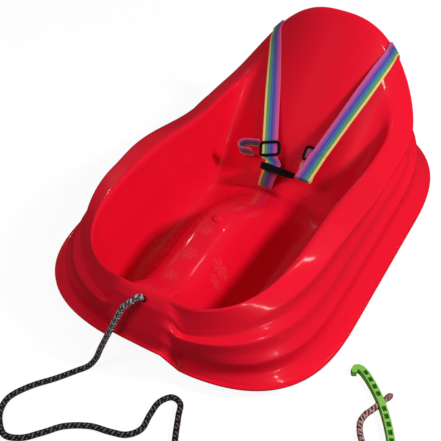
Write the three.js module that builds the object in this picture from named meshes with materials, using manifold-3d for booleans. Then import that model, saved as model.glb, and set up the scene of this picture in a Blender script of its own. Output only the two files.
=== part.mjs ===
import * as THREE from 'three';
import { mergeVertices } from 'three/addons/utils/BufferGeometryUtils.js';
import Module from 'manifold-3d';

// A baby pull sled: one moulded tub with a high back, a webbing harness with a
// side-release buckle, and a pull rope with a ribbed handle. Millimetres, +Z up,
// the toes towards -Y and the back towards +Y, standing on its belly at Z = 0.

// Overall sizes of the moulded shell
const sledLength = 640;
const sledWidth = 440;
const backHeight = 241;
const wall = 3;
const seatGap = 0.3;
const cutOverrun = 8;

// Half widths of the rings that the shell is drawn through, from the edge inwards
const lipHalfWidth = sledWidth / 2;
const lipWidth = 4;
const foldHalfWidth = 194;
const shelfHalfWidth = 181;
const shelfRearHalfWidth = 179;
const crestHalfWidth = 172;
const crestRearHalfWidth = 171;
const crestBow = 5;
const innerHalfWidth = 138;
const floorHalfWidth = 97;

// How far the rings reach in front of and behind the straight sides
const sideFront = -110;
const sideRear = 105;
const floorSideRear = 40;
const noseReach = 14;
const noseFoldReach = 13;
const noseShelfReach = 2;
const lipFrontReach = sledLength / 2 + sideFront - noseReach;
const lipRearReach = sledLength / 2 - sideRear;
const foldFrontReach = 190;
const foldRearReach = 205;
const shelfFrontReach = 195;
const shelfRearReach = 190;
const crestFrontReach = 190;
const crestRearReach = 172;
const innerFrontReach = 178;
const innerRearReach = 153;
const floorFrontReach = 140;
const floorRearReach = 30;
const crestLineFront = -225;
const crestLineRear = 58;
const crestLineSide = [-120, -30];

// Heights of the rings at the front, along the side, where the side dips, and behind
const footHeight = 26;
const footRearHeight = 36;
const foldFrontHeight = 57;
const foldHeight = 65;
const foldRearHeight = 92;
const shelfFrontHeight = 88;
const shelfHeight = 93;
const shelfDipHeight = 86;
const shelfRearHeight = 112;
const crestFrontHeight = 94;
const crestHeight = 131;
const crestDipHeight = 99;
const innerFrontHeight = 129;
const innerHeight = 137;
const innerDipHeight = 112;
const innerBackDrop = 17;
const innerBackHeight = backHeight - innerBackDrop;
const crownHeight = 4;

// The channel at the nose that the rope leaves by
const noseHalfWidth = 38;
const noseBlend = 20;
const noseFootLift = 40;
const noseFoldLift = 27;
const noseShelfLift = 14;
const noseCrestLift = 27;
const noseInnerLift = 3;

// The hump between the legs and the crowned seat behind it
const humpHeight = 105;
const humpHalfWidth = 77;
const seatHalfWidth = 100;
const humpBlend = 8;
const humpPower = 3;
const seatPower = 2;
const pommelRadius = 8;
const pommelHeight = 5;

// Webbing, rope and what holds them
const webWidth = 25;
const webThickness = 1.5;
const ropeDiameter = 8;
const ropeHoleRadius = 5;
const slotWidth = 27;
const slotHeight = 4.6;
const rivetRadius = 3;
const rivetHeadRadius = 6;
const rivetHeadHeight = 2;
const washerRadius = 8.5;
const washerThickness = 1.2;
const handleReach = 59;
const handleFarReach = 76;
const handleWidth = 8.8;
const handleTall = 9.8;

// Round corners of each ring: the power of its superellipse, front and rear
const lipPowers = [3, 2.8];
const foldPowers = [3, 2.35];
const shelfPowers = [2.6, 2.25];
const crestPowers = [2.2, 4];
const innerPowers = [2.9, 3.4];
const floorPowers = [2.6, 3.5];
const archPowers = [2.6, 1.35];

// Shares of the way in and down from the rim's inner edge to the floor
const sideWallShares = [[0.07, 0.86], [0.2, 0.56], [0.38, 0.29], [0.62, 0.09]];
const backWallShares = [[0.2, 0.795], [0.4, 0.6], [0.6, 0.405], [0.8, 0.205]];
const floorInsetShares = [0.2, 0.37, 0.5, 0.6, 0.7, 0.79, 0.87, 0.95];

// The hump's crest along the middle: shares of half the length, and of its height
const crestLineShares = [
  [-0.94, 1.2], [-0.865, 1.19], [-0.73, 0.96], [-0.57, 0.94], [-0.44, 0.98], [-0.35, 1], [-0.26, 0.96],
  [-0.16, 0.81], [-0.06, 0.62], [0.04, 0.42], [0.13, 0.24], [0.2, 0.12], [0.3, 0.08],
];

// Steps round the front quarter, along the side and round the rear quarter
const columnSteps = [16, 6, 14];

const wasm = await Module();
wasm.setup();

const red = new THREE.MeshStandardMaterial({ name: 'shell_red', color: 0xc4122c, roughness: 0.25, metalness: 0 });
const black = new THREE.MeshStandardMaterial({ name: 'buckle_black', color: 0x141416, roughness: 0.45, metalness: 0 });
const webbing = new THREE.MeshStandardMaterial({ name: 'striped_webbing', color: 0x7a5fa8, roughness: 0.8, metalness: 0 });
const ropeCloth = new THREE.MeshStandardMaterial({ name: 'rope_braid', color: 0x8a7f88, roughness: 0.85, metalness: 0 });
const green = new THREE.MeshStandardMaterial({ name: 'handle_green', color: 0x56b53a, roughness: 0.4, metalness: 0 });
const steel = new THREE.MeshStandardMaterial({ name: 'rivet_steel', color: 0xa8a9ab, roughness: 0.35, metalness: 1 });

const clamp = (value, low, high) => Math.min(Math.max(value, low), high);
const mix = (a, b, share) => a + (b - a) * share;

function smooth(low, high, value) {
  const share = clamp((value - low) / (high - low), 0, 1);
  return share * share * (3 - 2 * share);
}

// A smooth curve through [place, value] shares, evaluated at one place
function curveAt(shares, place) {
  if (place <= shares[0][0]) return shares[0][1];
  const last = shares[shares.length - 1];
  if (place >= last[0]) return last[1];
  const index = shares.findIndex(([start], i) => place >= start && place < shares[i + 1][0]);
  const slope = (i) => {
    const before = shares[Math.max(i - 1, 0)];
    const after = shares[Math.min(i + 1, shares.length - 1)];
    return (after[1] - before[1]) / (after[0] - before[0]);
  };
  const [start, from] = shares[index];
  const [end, to] = shares[index + 1];
  const span = end - start;
  const t = (place - start) / span;
  const startTurn = (t ** 3 - 2 * t ** 2 + t) * span * slope(index);
  const endTurn = (t ** 3 - t ** 2) * span * slope(index + 1);
  return (2 * t ** 3 - 3 * t ** 2 + 1) * from + startTurn + (3 * t ** 2 - 2 * t ** 3) * to + endTurn;
}

// Where a ring lies in plan: along runs 0 to 1 round the front quarter, to 2
// along the straight side and to 3 round the rear quarter
function planPoint(ring, along) {
  const rearStart = ring.sideRear ?? sideRear;
  const halfWidth = mix(ring.halfWidth, ring.rearHalfWidth ?? ring.halfWidth, smooth(1, 2, along));
  if (along >= 1 && along <= 2) {
    const bow = (ring.bow ?? 0) * 4 * (along - 1) * (2 - along);
    return [halfWidth + bow, mix(sideFront, rearStart, along - 1)];
  }
  const front = along < 1;
  const angle = (front ? along : 3 - along) * Math.PI / 2;
  const power = ring.powers[front ? 0 : 1];
  const radius = (Math.sin(angle) ** power + Math.cos(angle) ** power) ** (-1 / power);
  const x = halfWidth * Math.sin(angle) * radius;
  const reach = Math.cos(angle) * radius;
  return [x, front ? sideFront - ring.frontReach * reach : rearStart + ring.rearReach * reach];
}

// The rise of the back above the sides, as a round arch seen from the front
function archRise(x, halfWidth) {
  const share = clamp(Math.abs(x) / halfWidth, 0, 1);
  return (1 - share ** archPowers[0]) ** archPowers[1];
}

const footRise = (along) => mix(footHeight, footRearHeight, smooth(2, 3, along));
const lipRing = {
  halfWidth: lipHalfWidth, frontReach: lipFrontReach, rearReach: lipRearReach, powers: lipPowers,
  noseReach, noseLift: noseFootLift, height: footRise,
};
const footRing = {
  ...lipRing,
  halfWidth: lipHalfWidth - lipWidth,
  frontReach: lipFrontReach - lipWidth,
  rearReach: lipRearReach - lipWidth,
};
const foldRing = {
  halfWidth: foldHalfWidth, frontReach: foldFrontReach, rearReach: foldRearReach, powers: foldPowers,
  noseReach: noseFoldReach, noseLift: noseFoldLift,
  height: (along) => {
    const side = mix(foldFrontHeight, foldHeight, smooth(0.1, 1, along));
    return mix(side, foldRearHeight, smooth(1.9, 2.6, along));
  },
};
const shelfRing = {
  halfWidth: shelfHalfWidth, rearHalfWidth: shelfRearHalfWidth,
  frontReach: shelfFrontReach, rearReach: shelfRearReach, powers: shelfPowers,
  noseReach: noseShelfReach, noseLift: noseShelfLift,
  height: (along) => {
    const side = mix(shelfFrontHeight, shelfHeight, smooth(0.1, 1, along));
    const dip = mix(side, shelfDipHeight, smooth(1.2, 2, along));
    return mix(dip, shelfRearHeight, smooth(2, 2.7, along));
  },
};
const crestRing = {
  halfWidth: crestHalfWidth, rearHalfWidth: crestRearHalfWidth,
  frontReach: crestFrontReach, rearReach: crestRearReach, powers: crestPowers,
  bow: crestBow, noseReach: 0, noseLift: noseCrestLift,
  height: (along, x) => {
    const side = mix(crestFrontHeight, crestHeight, smooth(0.1, 1, along));
    const dip = mix(side, crestDipHeight, smooth(1.15, 2, along));
    return along > 2 ? mix(crestDipHeight, backHeight, archRise(x, crestRearHalfWidth)) : dip;
  },
};
const innerRing = {
  halfWidth: innerHalfWidth, frontReach: innerFrontReach, rearReach: innerRearReach, powers: innerPowers,
  noseReach: 0, noseLift: noseInnerLift,
  height: (along, x) => {
    const side = mix(innerFrontHeight, innerHeight, smooth(0.1, 1, along));
    const dip = mix(side, innerDipHeight, smooth(1.15, 2, along));
    return along > 2 ? mix(innerDipHeight, innerBackHeight, archRise(x, innerHalfWidth)) : dip;
  },
};
const floorRing = {
  halfWidth: floorHalfWidth, frontReach: floorFrontReach, rearReach: floorRearReach, powers: floorPowers,
  sideRear: floorSideRear, noseReach: 0, noseLift: 0, height: () => wall,
};

function ringPoint(ring, along) {
  const [x, y] = planPoint(ring, along);
  const nose = along < 1 ? 1 - smooth(noseHalfWidth, noseHalfWidth + noseBlend, x) : 0;
  return new THREE.Vector3(x, y - ring.noseReach * nose, ring.height(along, x) + ring.noseLift * nose);
}

// The hump and the crowned seat raise whatever lies below their crest
function raiseHump(point) {
  const place = point.y / (sledLength / 2);
  const crest = humpHeight * curveAt(crestLineShares, place);
  const seatness = smooth(-0.1, 0.25, place);
  const halfWidth = mix(humpHalfWidth, seatHalfWidth, seatness);
  const power = mix(humpPower, seatPower, seatness);
  const share = clamp(Math.abs(point.x) / halfWidth, 0, 1);
  const lack = crest - point.z;
  const rise = (lack + Math.hypot(lack, humpBlend)) / 2;
  point.z += rise * (1 - share ** power) ** 2;
  return point;
}

// Where on the middle line each column of the floor ends
function crestLineAt(along) {
  const [sideStart, sideEnd] = crestLineSide;
  if (along < 1) return mix(crestLineFront, sideStart, along);
  if (along < 2) return mix(sideStart, sideEnd, along - 1);
  return mix(sideEnd, crestLineRear, along - 2);
}

// One column of the shell's top face, from the lip in to the middle of the floor
function shellColumn(along) {
  const [lip, foot, fold, shelf, crest, inner, floor] = [
    lipRing, footRing, foldRing, shelfRing, crestRing, innerRing, floorRing,
  ].map((ring) => ringPoint(ring, along));
  const crown = crest.clone().lerp(inner, 0.5);
  crown.z += crownHeight;
  const backness = smooth(2.1, 2.6, along);
  const walls = sideWallShares.map(([inset, height], i) => {
    const [backInset, backLevel] = backWallShares[i];
    const point = inner.clone().lerp(floor, mix(inset, backInset, backness));
    point.z = mix(floor.z, inner.z, mix(height, backLevel, backness));
    return raiseHump(point);
  });
  const flats = floorInsetShares.map((share) => {
    const y = mix(floor.y, crestLineAt(along), share);
    return raiseHump(new THREE.Vector3(floor.x * (1 - share), y, floor.z));
  });
  return [lip, foot, fold, shelf, crest, crown, inner, ...walls, raiseHump(floor), ...flats];
}

const crestRow = 4;
const crownRow = 5;
const flatCosine = 0.995;
const flatTolerance = 0.05;

// The whole top face as a grid: one column after another, right side then left
function topGrid() {
  const alongs = [];
  columnSteps.forEach((steps, zone) => {
    for (let i = 0; i < steps; i += 1) alongs.push(zone + i / steps);
  });
  alongs.push(3);
  const right = alongs.map(shellColumn);
  const left = right.slice(1, -1).reverse().map((column) => column.map((p) => new THREE.Vector3(-p.x, p.y, p.z)));
  return [...right, ...left];
}

// Outward normals of the grid's points, levelled where the floor is as good as flat
function gridNormals(grid) {
  const count = grid.length;
  const levels = grid[0].length;
  return grid.map((column, i) => column.map((point, row) => {
    const before = grid[(i + count - 1) % count][row];
    const after = grid[(i + 1) % count][row];
    const outer = column[Math.max(row - 1, 0)];
    const middle = new THREE.Vector3(-point.x, point.y, point.z);
    const inner = row + 1 < levels ? column[row + 1] : middle;
    const round = after.clone().sub(before);
    const inwards = inner.clone().sub(outer);
    const normal = round.cross(inwards).normalize();
    if (row === levels - 1) normal.x = 0;
    normal.normalize();
    const level = point.z - wall < flatTolerance || normal.z > flatCosine;
    return level ? new THREE.Vector3(0, 0, 1) : normal;
  }));
}

function closedGeometry(points, faces) {
  const geometry = new THREE.BufferGeometry();
  const positions = new Float32Array(points.flatMap((p) => [p.x, p.y, p.z]));
  geometry.setAttribute('position', new THREE.BufferAttribute(positions, 3));
  geometry.setIndex(faces.flat());
  return geometry;
}

function toSolid(geometry) {
  const bare = geometry.clone();
  bare.deleteAttribute('normal');
  bare.deleteAttribute('uv');
  const merged = mergeVertices(bare, 1e-4);
  const vertProperties = new Float32Array(merged.attributes.position.array);
  const triVerts = new Uint32Array(merged.index.array);
  return new wasm.Manifold(new wasm.Mesh({ numProp: 3, vertProperties, triVerts }));
}

function toGeometry(solid) {
  const mesh = solid.getMesh();
  const geometry = new THREE.BufferGeometry();
  geometry.setAttribute('position', new THREE.BufferAttribute(new Float32Array(mesh.vertProperties), 3));
  geometry.setIndex(new THREE.BufferAttribute(new Uint32Array(mesh.triVerts), 1));
  return geometry;
}

const cutFrom = (geometry, ...cutters) => (
  toGeometry(cutters.reduce((solid, cutter) => solid.subtract(toSolid(cutter)), toSolid(geometry)))
);
const joinAll = (...geometries) => (
  toGeometry(geometries.map(toSolid).reduce((solid, next) => solid.add(next)))
);

// Turns a geometry so that its +Z runs along an axis, and moves it to a place
function placed(geometry, place, axis, spinFrom) {
  const z = axis.clone().normalize();
  const guide = spinFrom ?? (Math.abs(z.x) < 0.9 ? new THREE.Vector3(1, 0, 0) : new THREE.Vector3(0, 1, 0));
  const y = z.clone().cross(guide).normalize();
  const x = y.clone().cross(z);
  return geometry.clone().applyMatrix4(new THREE.Matrix4().makeBasis(x, y, z).setPosition(place));
}

const grid = topGrid();

// The shell's surface anywhere: side is 1 or -1, level counts rings from the lip
function surfaceAt(side, along, level) {
  const at = (place, ring) => {
    const column = shellColumn(clamp(place, 0, 3));
    const low = Math.floor(clamp(ring, 0, column.length - 2));
    return column[low].clone().lerp(column[low + 1], ring - low);
  };
  const step = 0.01;
  const point = at(along, level);
  const round = at(along + step, level).sub(at(along - step, level));
  const inwards = at(along, level + step).sub(at(along, level - step));
  const normal = round.clone().cross(inwards).normalize();
  [point, round, normal].forEach((v) => v.setX(v.x * side));
  return { point, normal, round: round.normalize() };
}

function shellSkin() {
  const normals = gridNormals(grid);
  const count = grid.length;
  const levels = grid[0].length;
  const top = grid.flat();
  const under = grid.flatMap((column, i) => column.map((p, k) => p.clone().addScaledVector(normals[i][k], -wall)));
  const faces = [];
  let mirrored = false;
  const quad = (a, b, c, d) => {
    if (mirrored) faces.push([b, c, d], [b, d, a]);
    else faces.push([a, b, c], [a, c, d]);
  };
  const shift = top.length;
  for (let i = 0; i < count; i += 1) {
    const j = (i + 1) % count;
    mirrored = 2 * i >= count;
    for (let k = 0; k + 1 < levels; k += 1) {
      quad(i * levels + k, j * levels + k, j * levels + k + 1, i * levels + k + 1);
      quad(shift + i * levels + k + 1, shift + j * levels + k + 1, shift + j * levels + k, shift + i * levels + k);
    }
    quad(i * levels + shift, j * levels + shift, j * levels, i * levels);
  }
  mirrored = false;
  const last = levels - 1;
  for (let i = 0; i < (count / 2); i += 1) {
    const [r0, r1] = [i, i + 1];
    const [l0, l1] = [(count - i) % count, count - i - 1];
    const ids = [r0, r1, l1, l0].map((column) => column * levels + last);
    const [a, b, c, d] = ids;
    if (i === 0) {
      faces.push([a, b, c], [c + shift, b + shift, a + shift]);
    } else if (i + 1 === count / 2) {
      faces.push([a, b, d], [d + shift, b + shift, a + shift]);
    } else {
      quad(a, b, c, d);
      quad(d + shift, c + shift, b + shift, a + shift);
    }
  }
  return closedGeometry([...top, ...under], faces);
}

// A flat band along a path: at each stop its middle, the way across and its face
function band(stops, width, thickness) {
  const points = [];
  const faces = [];
  const section = [[-1, -1], [1, -1], [1, 1], [-1, 1]];
  const corners = section.length;
  stops.forEach(({ point, across, face }) => {
    section.forEach(([w, t]) => {
      points.push(point.clone().addScaledVector(across, w * width / 2).addScaledVector(face, t * thickness / 2));
    });
  });
  for (let i = 0; i + 1 < stops.length; i += 1) {
    for (let k = 0; k < corners; k += 1) {
      const a = i * corners + k;
      const b = i * corners + (k + 1) % corners;
      faces.push([a, b, b + corners], [a, b + corners, a + corners]);
    }
  }
  const end = (stops.length - 1) * corners;
  faces.push([0, 2, 1], [0, 3, 2], [end, end + 1, end + 2], [end, end + 2, end + 3]);
  return closedGeometry(points, faces);
}

// Stops of a band from a list of middles, with the way across given as a guide; an
// entry that is a whole stop already is kept as it is
function bandStops(entries, guide) {
  const points = entries.map((entry) => entry.point ?? entry);
  return points.map((point, i) => {
    if (entries[i].face) return entries[i];
    const before = points[Math.max(i - 1, 0)];
    const after = points[Math.min(i + 1, points.length - 1)];
    const ahead = after.clone().sub(before).normalize();
    const guideHere = Array.isArray(guide) ? guide[i] : guide;
    const across = guideHere.clone().addScaledVector(ahead, -guideHere.dot(ahead)).normalize();
    return { point, across, face: ahead.clone().cross(across).normalize() };
  });
}

// A solid of revolution about +Z from [radius, height] pairs
function turned(profile, segments = 24) {
  const points = profile.map(([radius, height]) => new THREE.Vector2(radius, height));
  return new THREE.LatheGeometry(points, segments).rotateX(Math.PI / 2);
}

function rod(place, axis, radius, length) {
  const half = length / 2;
  const profile = [[0, -half], [radius, -half], [radius, half], [0, half]];
  return placed(turned(profile), place, axis);
}

const box = (width, depth, height, x = 0, y = 0, z = 0) => (
  new THREE.BoxGeometry(width, depth, height).translate(x, y, z)
);

// The place on the rear of the shell at one level where |x| has a given value
function rearPlace(side, x, level) {
  let [low, high] = [2, 3];
  for (let i = 0; i < 40; i += 1) {
    const middle = (low + high) / 2;
    const place = surfaceAt(1, middle, level).point.x;
    if (place > x) low = middle;
    else high = middle;
  }
  return surfaceAt(side, low, level);
}

const lifted = ({ point, normal }, lift) => point.clone().addScaledVector(normal, lift);
const webLift = seatGap + webThickness / 2;

// Where the shoulder straps cross the rim and how they are fastened behind it
const rimPlaces = { left: [108, 104], right: [95, 91] };
const rivetLevel = 3.5;
const strapEndMargin = 10.5;
const strapSpare = 0.42;
const washerLift = webThickness + 2 * seatGap + strapSpare;

function rimCrossing(side) {
  const [strapRimX, strapCrownX] = side < 0 ? rimPlaces.left : rimPlaces.right;
  const anchor = rearPlace(side, strapRimX, rivetLevel);
  const above = rearPlace(side, strapRimX, crestRow - 0.1);
  const up = above.point.clone().sub(anchor.point);
  up.addScaledVector(anchor.normal, -up.dot(anchor.normal)).normalize();
  const atAnchor = lifted(anchor, webLift + strapSpare);
  const crest = rearPlace(side, strapRimX, crestRow);
  const crown = rearPlace(side, strapCrownX, crownRow);
  const middles = [
    atAnchor.clone().addScaledVector(up, -strapEndMargin),
    atAnchor.clone().addScaledVector(up, washerRadius + seatGap),
    atAnchor.clone().addScaledVector(up, strapEndMargin),
    lifted(rearPlace(side, strapRimX, crestRow - 0.24), 3.4 * webLift),
    lifted(rearPlace(side, strapRimX, crestRow - 0.1), 4 * webLift),
    lifted(crest, 4.6 * webLift),
    lifted(rearPlace(side, (strapRimX + strapCrownX) / 2, (crestRow + crownRow) / 2), 5 * webLift),
    lifted(crown, 5.2 * webLift),
  ];
  const guides = [...new Array(4).fill(anchor.round), crest.round, crest.round, crown.round, crown.round];
  return { anchor, up, middles, guides: guides.map((guide) => guide.clone().multiplyScalar(Math.sign(guide.x))) };
}

// Adjuster and buckle places, taken from where the photograph shows them
const leftAdjusterPlace = new THREE.Vector3(-29.6, 102.5, 69.3);
const rightRunPlace = new THREE.Vector3(54.5, 104, 92);
const rightAdjusterPlace = new THREE.Vector3(45, 105, 85);
const rightStrapEnd = new THREE.Vector3(46.8, 67, 66);
const buckleJoin = new THREE.Vector3(-16.2, 83.8, 48.8);
const buckleFront = new THREE.Vector3(0.2, -0.75, 0.63).normalize();
const acrossSled = new THREE.Vector3(1, 0, 0);
const creaseSlot = new THREE.Vector3(-21, 76, 17.6);

// Adjusters: a three-bar frame that the strap runs straight through
const adjusterLength = 25;
const railWidth = 2.6;
const barDepth = 3;
const barThickness = 2.1;
const barLift = webThickness / 2 + seatGap;

function adjusterFrame() {
  const inner = webWidth + 2 * seatGap;
  const railPlace = (inner + railWidth) / 2;
  const outer = inner + 2 * railWidth;
  const height = 2 * (barLift + barThickness);
  const barPlace = (adjusterLength - barDepth) / 2;
  const barMiddle = barLift + barThickness / 2;
  return joinAll(
    box(railWidth, adjusterLength, height, railPlace),
    box(railWidth, adjusterLength, height, -railPlace),
    box(outer, barDepth, barThickness, 0, barPlace, barMiddle),
    box(outer, barDepth, barThickness, 0, -barPlace, barMiddle),
    box(outer, barDepth, barThickness, 0, 0, -barMiddle),
  );
}

// Moves a geometry from its own frame to a place with given x, y and z axes
const framed = (geometry, place, x, y, z) => (
  geometry.clone().applyMatrix4(new THREE.Matrix4().makeBasis(x, y, z).setPosition(place))
);

// A straight run between two middles, split into steps that turn the way across
const turnShare = 0.6;
const runSteps = 8;

function straightRun(from, to, guideFrom, guideTo, steps) {
  const middles = [];
  const guides = [];
  for (let i = 1; i <= steps; i += 1) {
    middles.push(from.clone().lerp(to, i / steps));
    guides.push(guideFrom.clone().lerp(guideTo, smooth(0, turnShare, i / steps)).normalize());
  }
  return { middles, guides };
}

// An adjuster on a strap that runs up through its place in a given direction
function adjusterAt(place, slideUp) {
  const across = acrossSled.clone().addScaledVector(slideUp, -slideUp.x).normalize();
  const face = across.clone().cross(slideUp);
  return { frame: framed(adjusterFrame(), place, across, slideUp, face), place, slideUp, across, face };
}

// A shoulder strap: up the outside of the back, over the rim and down to a lower place
function shoulderStrap(side, lowerPlace, lowerMiddles, lowerGuides) {
  const rim = rimCrossing(side);
  const crown = rim.middles[rim.middles.length - 1];
  const crownGuide = rim.guides[rim.guides.length - 1];
  const run = straightRun(crown, lowerPlace, crownGuide, acrossSled, runSteps);
  const slideUp = crown.clone().sub(lowerPlace).normalize();
  const middles = [...rim.middles, ...run.middles, ...lowerMiddles(slideUp)];
  const guides = [...rim.guides, ...run.guides, ...lowerGuides];
  const strap = band(bandStops(middles, guides), webWidth, webThickness);
  const hole = rod(rim.anchor.point, rim.anchor.normal, rivetRadius + seatGap, 2 * cutOverrun);
  return { strap: cutFrom(strap, hole), hole, anchor: rim.anchor, slideUp };
}

// The buckle's own axes: along it, towards its rear edge, and up through it
const buckleRear = buckleFront.clone().negate();
const buckleAlong = acrossSled.clone().addScaledVector(buckleFront, -buckleFront.x).normalize();
const buckleUp = buckleAlong.clone().cross(buckleRear);
const onBuckle = (x, y, z) => (
  buckleJoin.clone().addScaledVector(buckleAlong, x).addScaledVector(buckleRear, y).addScaledVector(buckleUp, z)
);
const inBuckle = (geometry) => framed(geometry, buckleJoin, buckleAlong, buckleRear, buckleUp);

// Buckle sizes in its own axes; the straps pass through a slot at its origin
const socketLeft = -15;
const socketRight = 30.5;
const socketDepth = 26;
const buckleMiddle = -9;
const socketHeight = 11;
const webSlotDepth = 4.6;
const cavityStart = 15.5;
const cavityDepth = 20.4;
const cavityHeight = 5.8;
const windowStart = 20;
const plugLength = 9;
const plugDepth = 30.4;
const plugHeight = 8.6;
const plugSlotWidth = 3.2;
const plugSlotInset = 2.4;
const tongueDepth = 4.4;
const tongueHeight = 4.8;
const tongueTip = 17;
const armThickness = 2.5;
const armOuter = 9.9;
const armTip = 17.5;
const armHeight = 5;
const buttonStart = 21.5;
const buttonEnd = 28;
const buttonOuter = 12.8;
const strapInSlot = 9;

function buckleSocket() {
  const length = socketRight - socketLeft;
  const body = box(length, socketDepth, socketHeight, (socketLeft + socketRight) / 2, buckleMiddle);
  const webSlot = box(webWidth + 4 * seatGap, webSlotDepth, socketHeight + cutOverrun);
  const cavityLength = socketRight - cavityStart + cutOverrun;
  const cavity = box(cavityLength, cavityDepth, cavityHeight, cavityStart + cavityLength / 2, buckleMiddle);
  const windowLength = socketRight - windowStart + cutOverrun;
  const windows = box(windowLength, socketDepth + cutOverrun, cavityHeight, windowStart + windowLength / 2, buckleMiddle);
  return inBuckle(cutFrom(body, webSlot, cavity, windows));
}

function bucklePlug() {
  const start = socketRight + seatGap;
  const base = box(plugLength, plugDepth, plugHeight, start + plugLength / 2, buckleMiddle);
  const slotPlace = start + plugLength - plugSlotInset - plugSlotWidth / 2;
  const slot = box(plugSlotWidth, webWidth + 2 * seatGap, plugHeight + cutOverrun, slotPlace, buckleMiddle);
  const tongueLength = start - tongueTip + plugSlotInset;
  const tongue = box(tongueLength, tongueDepth, tongueHeight, tongueTip + tongueLength / 2, buckleMiddle);
  return inBuckle(joinAll(cutFrom(base, slot), tongue));
}

// One springy side arm with its button; side is -1 at the front, 1 at the rear
function releaseArm(side) {
  const root = socketRight;
  const armMiddle = buckleMiddle + side * (armOuter - armThickness / 2);
  const arm = box(root - armTip, armThickness, armHeight, (root + armTip) / 2, armMiddle);
  const buttonInner = armOuter - armThickness / 2;
  const buttonMiddle = buckleMiddle + side * (buttonOuter + buttonInner) / 2;
  const buttonLength = buttonEnd - buttonStart;
  const button = box(
    buttonLength, buttonOuter - buttonInner, armHeight, (buttonStart + buttonEnd) / 2, buttonMiddle,
  );
  return inBuckle(joinAll(arm, button));
}

// The two straps lie face to face in the buckle's slot
const lapOffset = webThickness / 2 + seatGap;
const adjusterMargin = 2;
const leftLower = (slideUp) => {
  const { across, face } = adjusterAt(leftAdjusterPlace, slideUp);
  const below = leftAdjusterPlace.clone().addScaledVector(slideUp, -adjusterLength / 2 - seatGap);
  const inSlot = (height) => ({ point: onBuckle(0, lapOffset, height), across: buckleAlong, face: buckleFront });
  return [{ point: below, across, face }, inSlot(strapInSlot - 2), inSlot(-strapInSlot)];
};
const leftGuides = new Array(3).fill(buckleAlong);
const leftStrap = shoulderStrap(-1, leftAdjusterPlace, leftLower, leftGuides);

const leftAdjuster = adjusterAt(leftAdjusterPlace, leftStrap.slideUp);

// The right strap turns back in an open fold and runs up behind itself to its adjuster
const foldRadius = 3;
const strapPastAdjuster = 3;
const foldDown = rightStrapEnd.clone().sub(rightRunPlace).normalize();
const foldOut = acrossSled.clone().cross(foldDown).normalize();
const foldTop = rightStrapEnd.clone().addScaledVector(foldOut, 2 * foldRadius);
const rightSlideUp = rightAdjusterPlace.clone().sub(foldTop).normalize();
const rightAdjuster = adjusterAt(rightAdjusterPlace, rightSlideUp);
const rightLower = () => {
  const middles = [rightStrapEnd.clone()];
  [0.25, 0.5, 0.75, 1].forEach((share) => {
    const angle = share * Math.PI;
    middles.push(rightStrapEnd.clone()
      .addScaledVector(foldDown, foldRadius * Math.sin(angle))
      .addScaledVector(foldOut, foldRadius * (1 - Math.cos(angle))));
  });
  middles.push(rightAdjusterPlace.clone().addScaledVector(rightSlideUp, -adjusterLength / 2 - adjusterMargin));
  middles.push(rightAdjusterPlace.clone().addScaledVector(rightSlideUp, adjusterLength / 2 + strapPastAdjuster));
  return middles;
};
const rightStrap = shoulderStrap(1, rightRunPlace, rightLower, new Array(7).fill(acrossSled));

// The left strap's loose tail, looping out beside its adjuster and back
const tailShare = 0.92;
const tailAcross = new THREE.Vector3(0, -0.55, 0.83).normalize();
const tailMiddles = [
  [-0.3, 9, 5], [-10, 10, 6], [-20, 11, 7], [-29, 10, 7], [-34, 7, 5.5], [-34.5, 2, 3], [-30, -1, 1],
  [-22, -2, 0], [-14, -4, -1],
];

function strapTail() {
  const edge = webWidth / 2 + seatGap + railWidth;
  const { across, slideUp, face } = leftAdjuster;
  const middles = tailMiddles.map(([x, y, z]) => leftAdjusterPlace.clone()
    .addScaledVector(across, x - edge).addScaledVector(slideUp, y).addScaledVector(face, z));
  return band(bandStops(middles, tailAcross), webWidth * tailShare, webThickness);
}

// The crotch strap: from the buckle down through the crease and up behind the panel
const slotDown = 7;
const slotInset = 3;
const crotchRivetLevel = 10.3;
function crotchStrap() {
  const anchor = rearPlace(-1, -creaseSlot.x, crotchRivetLevel);
  const under = (level) => lifted(rearPlace(-1, -creaseSlot.x, level), -(wall + webLift + strapSpare));
  const up = under(crotchRivetLevel - 0.2).sub(under(crotchRivetLevel + 0.2)).normalize();
  const atAnchor = under(crotchRivetLevel);
  const middles = [
    onBuckle(0, -lapOffset, strapInSlot - 2),
    onBuckle(0, -lapOffset, -strapInSlot),
    creaseSlot.clone(),
    creaseSlot.clone().add(new THREE.Vector3(0, -1, -slotDown)),
    creaseSlot.clone().add(new THREE.Vector3(0, 3, -slotDown - 2.6)),
    creaseSlot.clone().add(new THREE.Vector3(0, 9, -slotDown)),
    atAnchor.clone().addScaledVector(up, -strapEndMargin),
    atAnchor.clone().addScaledVector(up, -washerRadius - seatGap),
    atAnchor.clone().addScaledVector(up, strapEndMargin),
  ];
  const onWall = anchor.round.clone().multiplyScalar(Math.sign(anchor.round.x));
  const guides = [buckleAlong, buckleAlong, ...new Array(3).fill(acrossSled), ...new Array(4).fill(onWall)];
  const strap = band(bandStops(middles, guides), webWidth, webThickness);
  const hole = rod(anchor.point, anchor.normal, rivetRadius + seatGap, 2 * cutOverrun);
  return { strap: cutFrom(strap, hole), hole, anchor };
}
const crotch = crotchStrap();

function creaseSlotCutter() {
  const down = creaseSlot.clone().sub(onBuckle(0, -lapOffset, -strapInSlot)).normalize();
  const across = acrossSled.clone().addScaledVector(down, -down.x).normalize();
  const cutter = box(slotWidth, slotHeight, 2 * cutOverrun);
  return framed(cutter, creaseSlot.clone().addScaledVector(down, slotInset), across, down.clone().cross(across), down);
}

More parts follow.
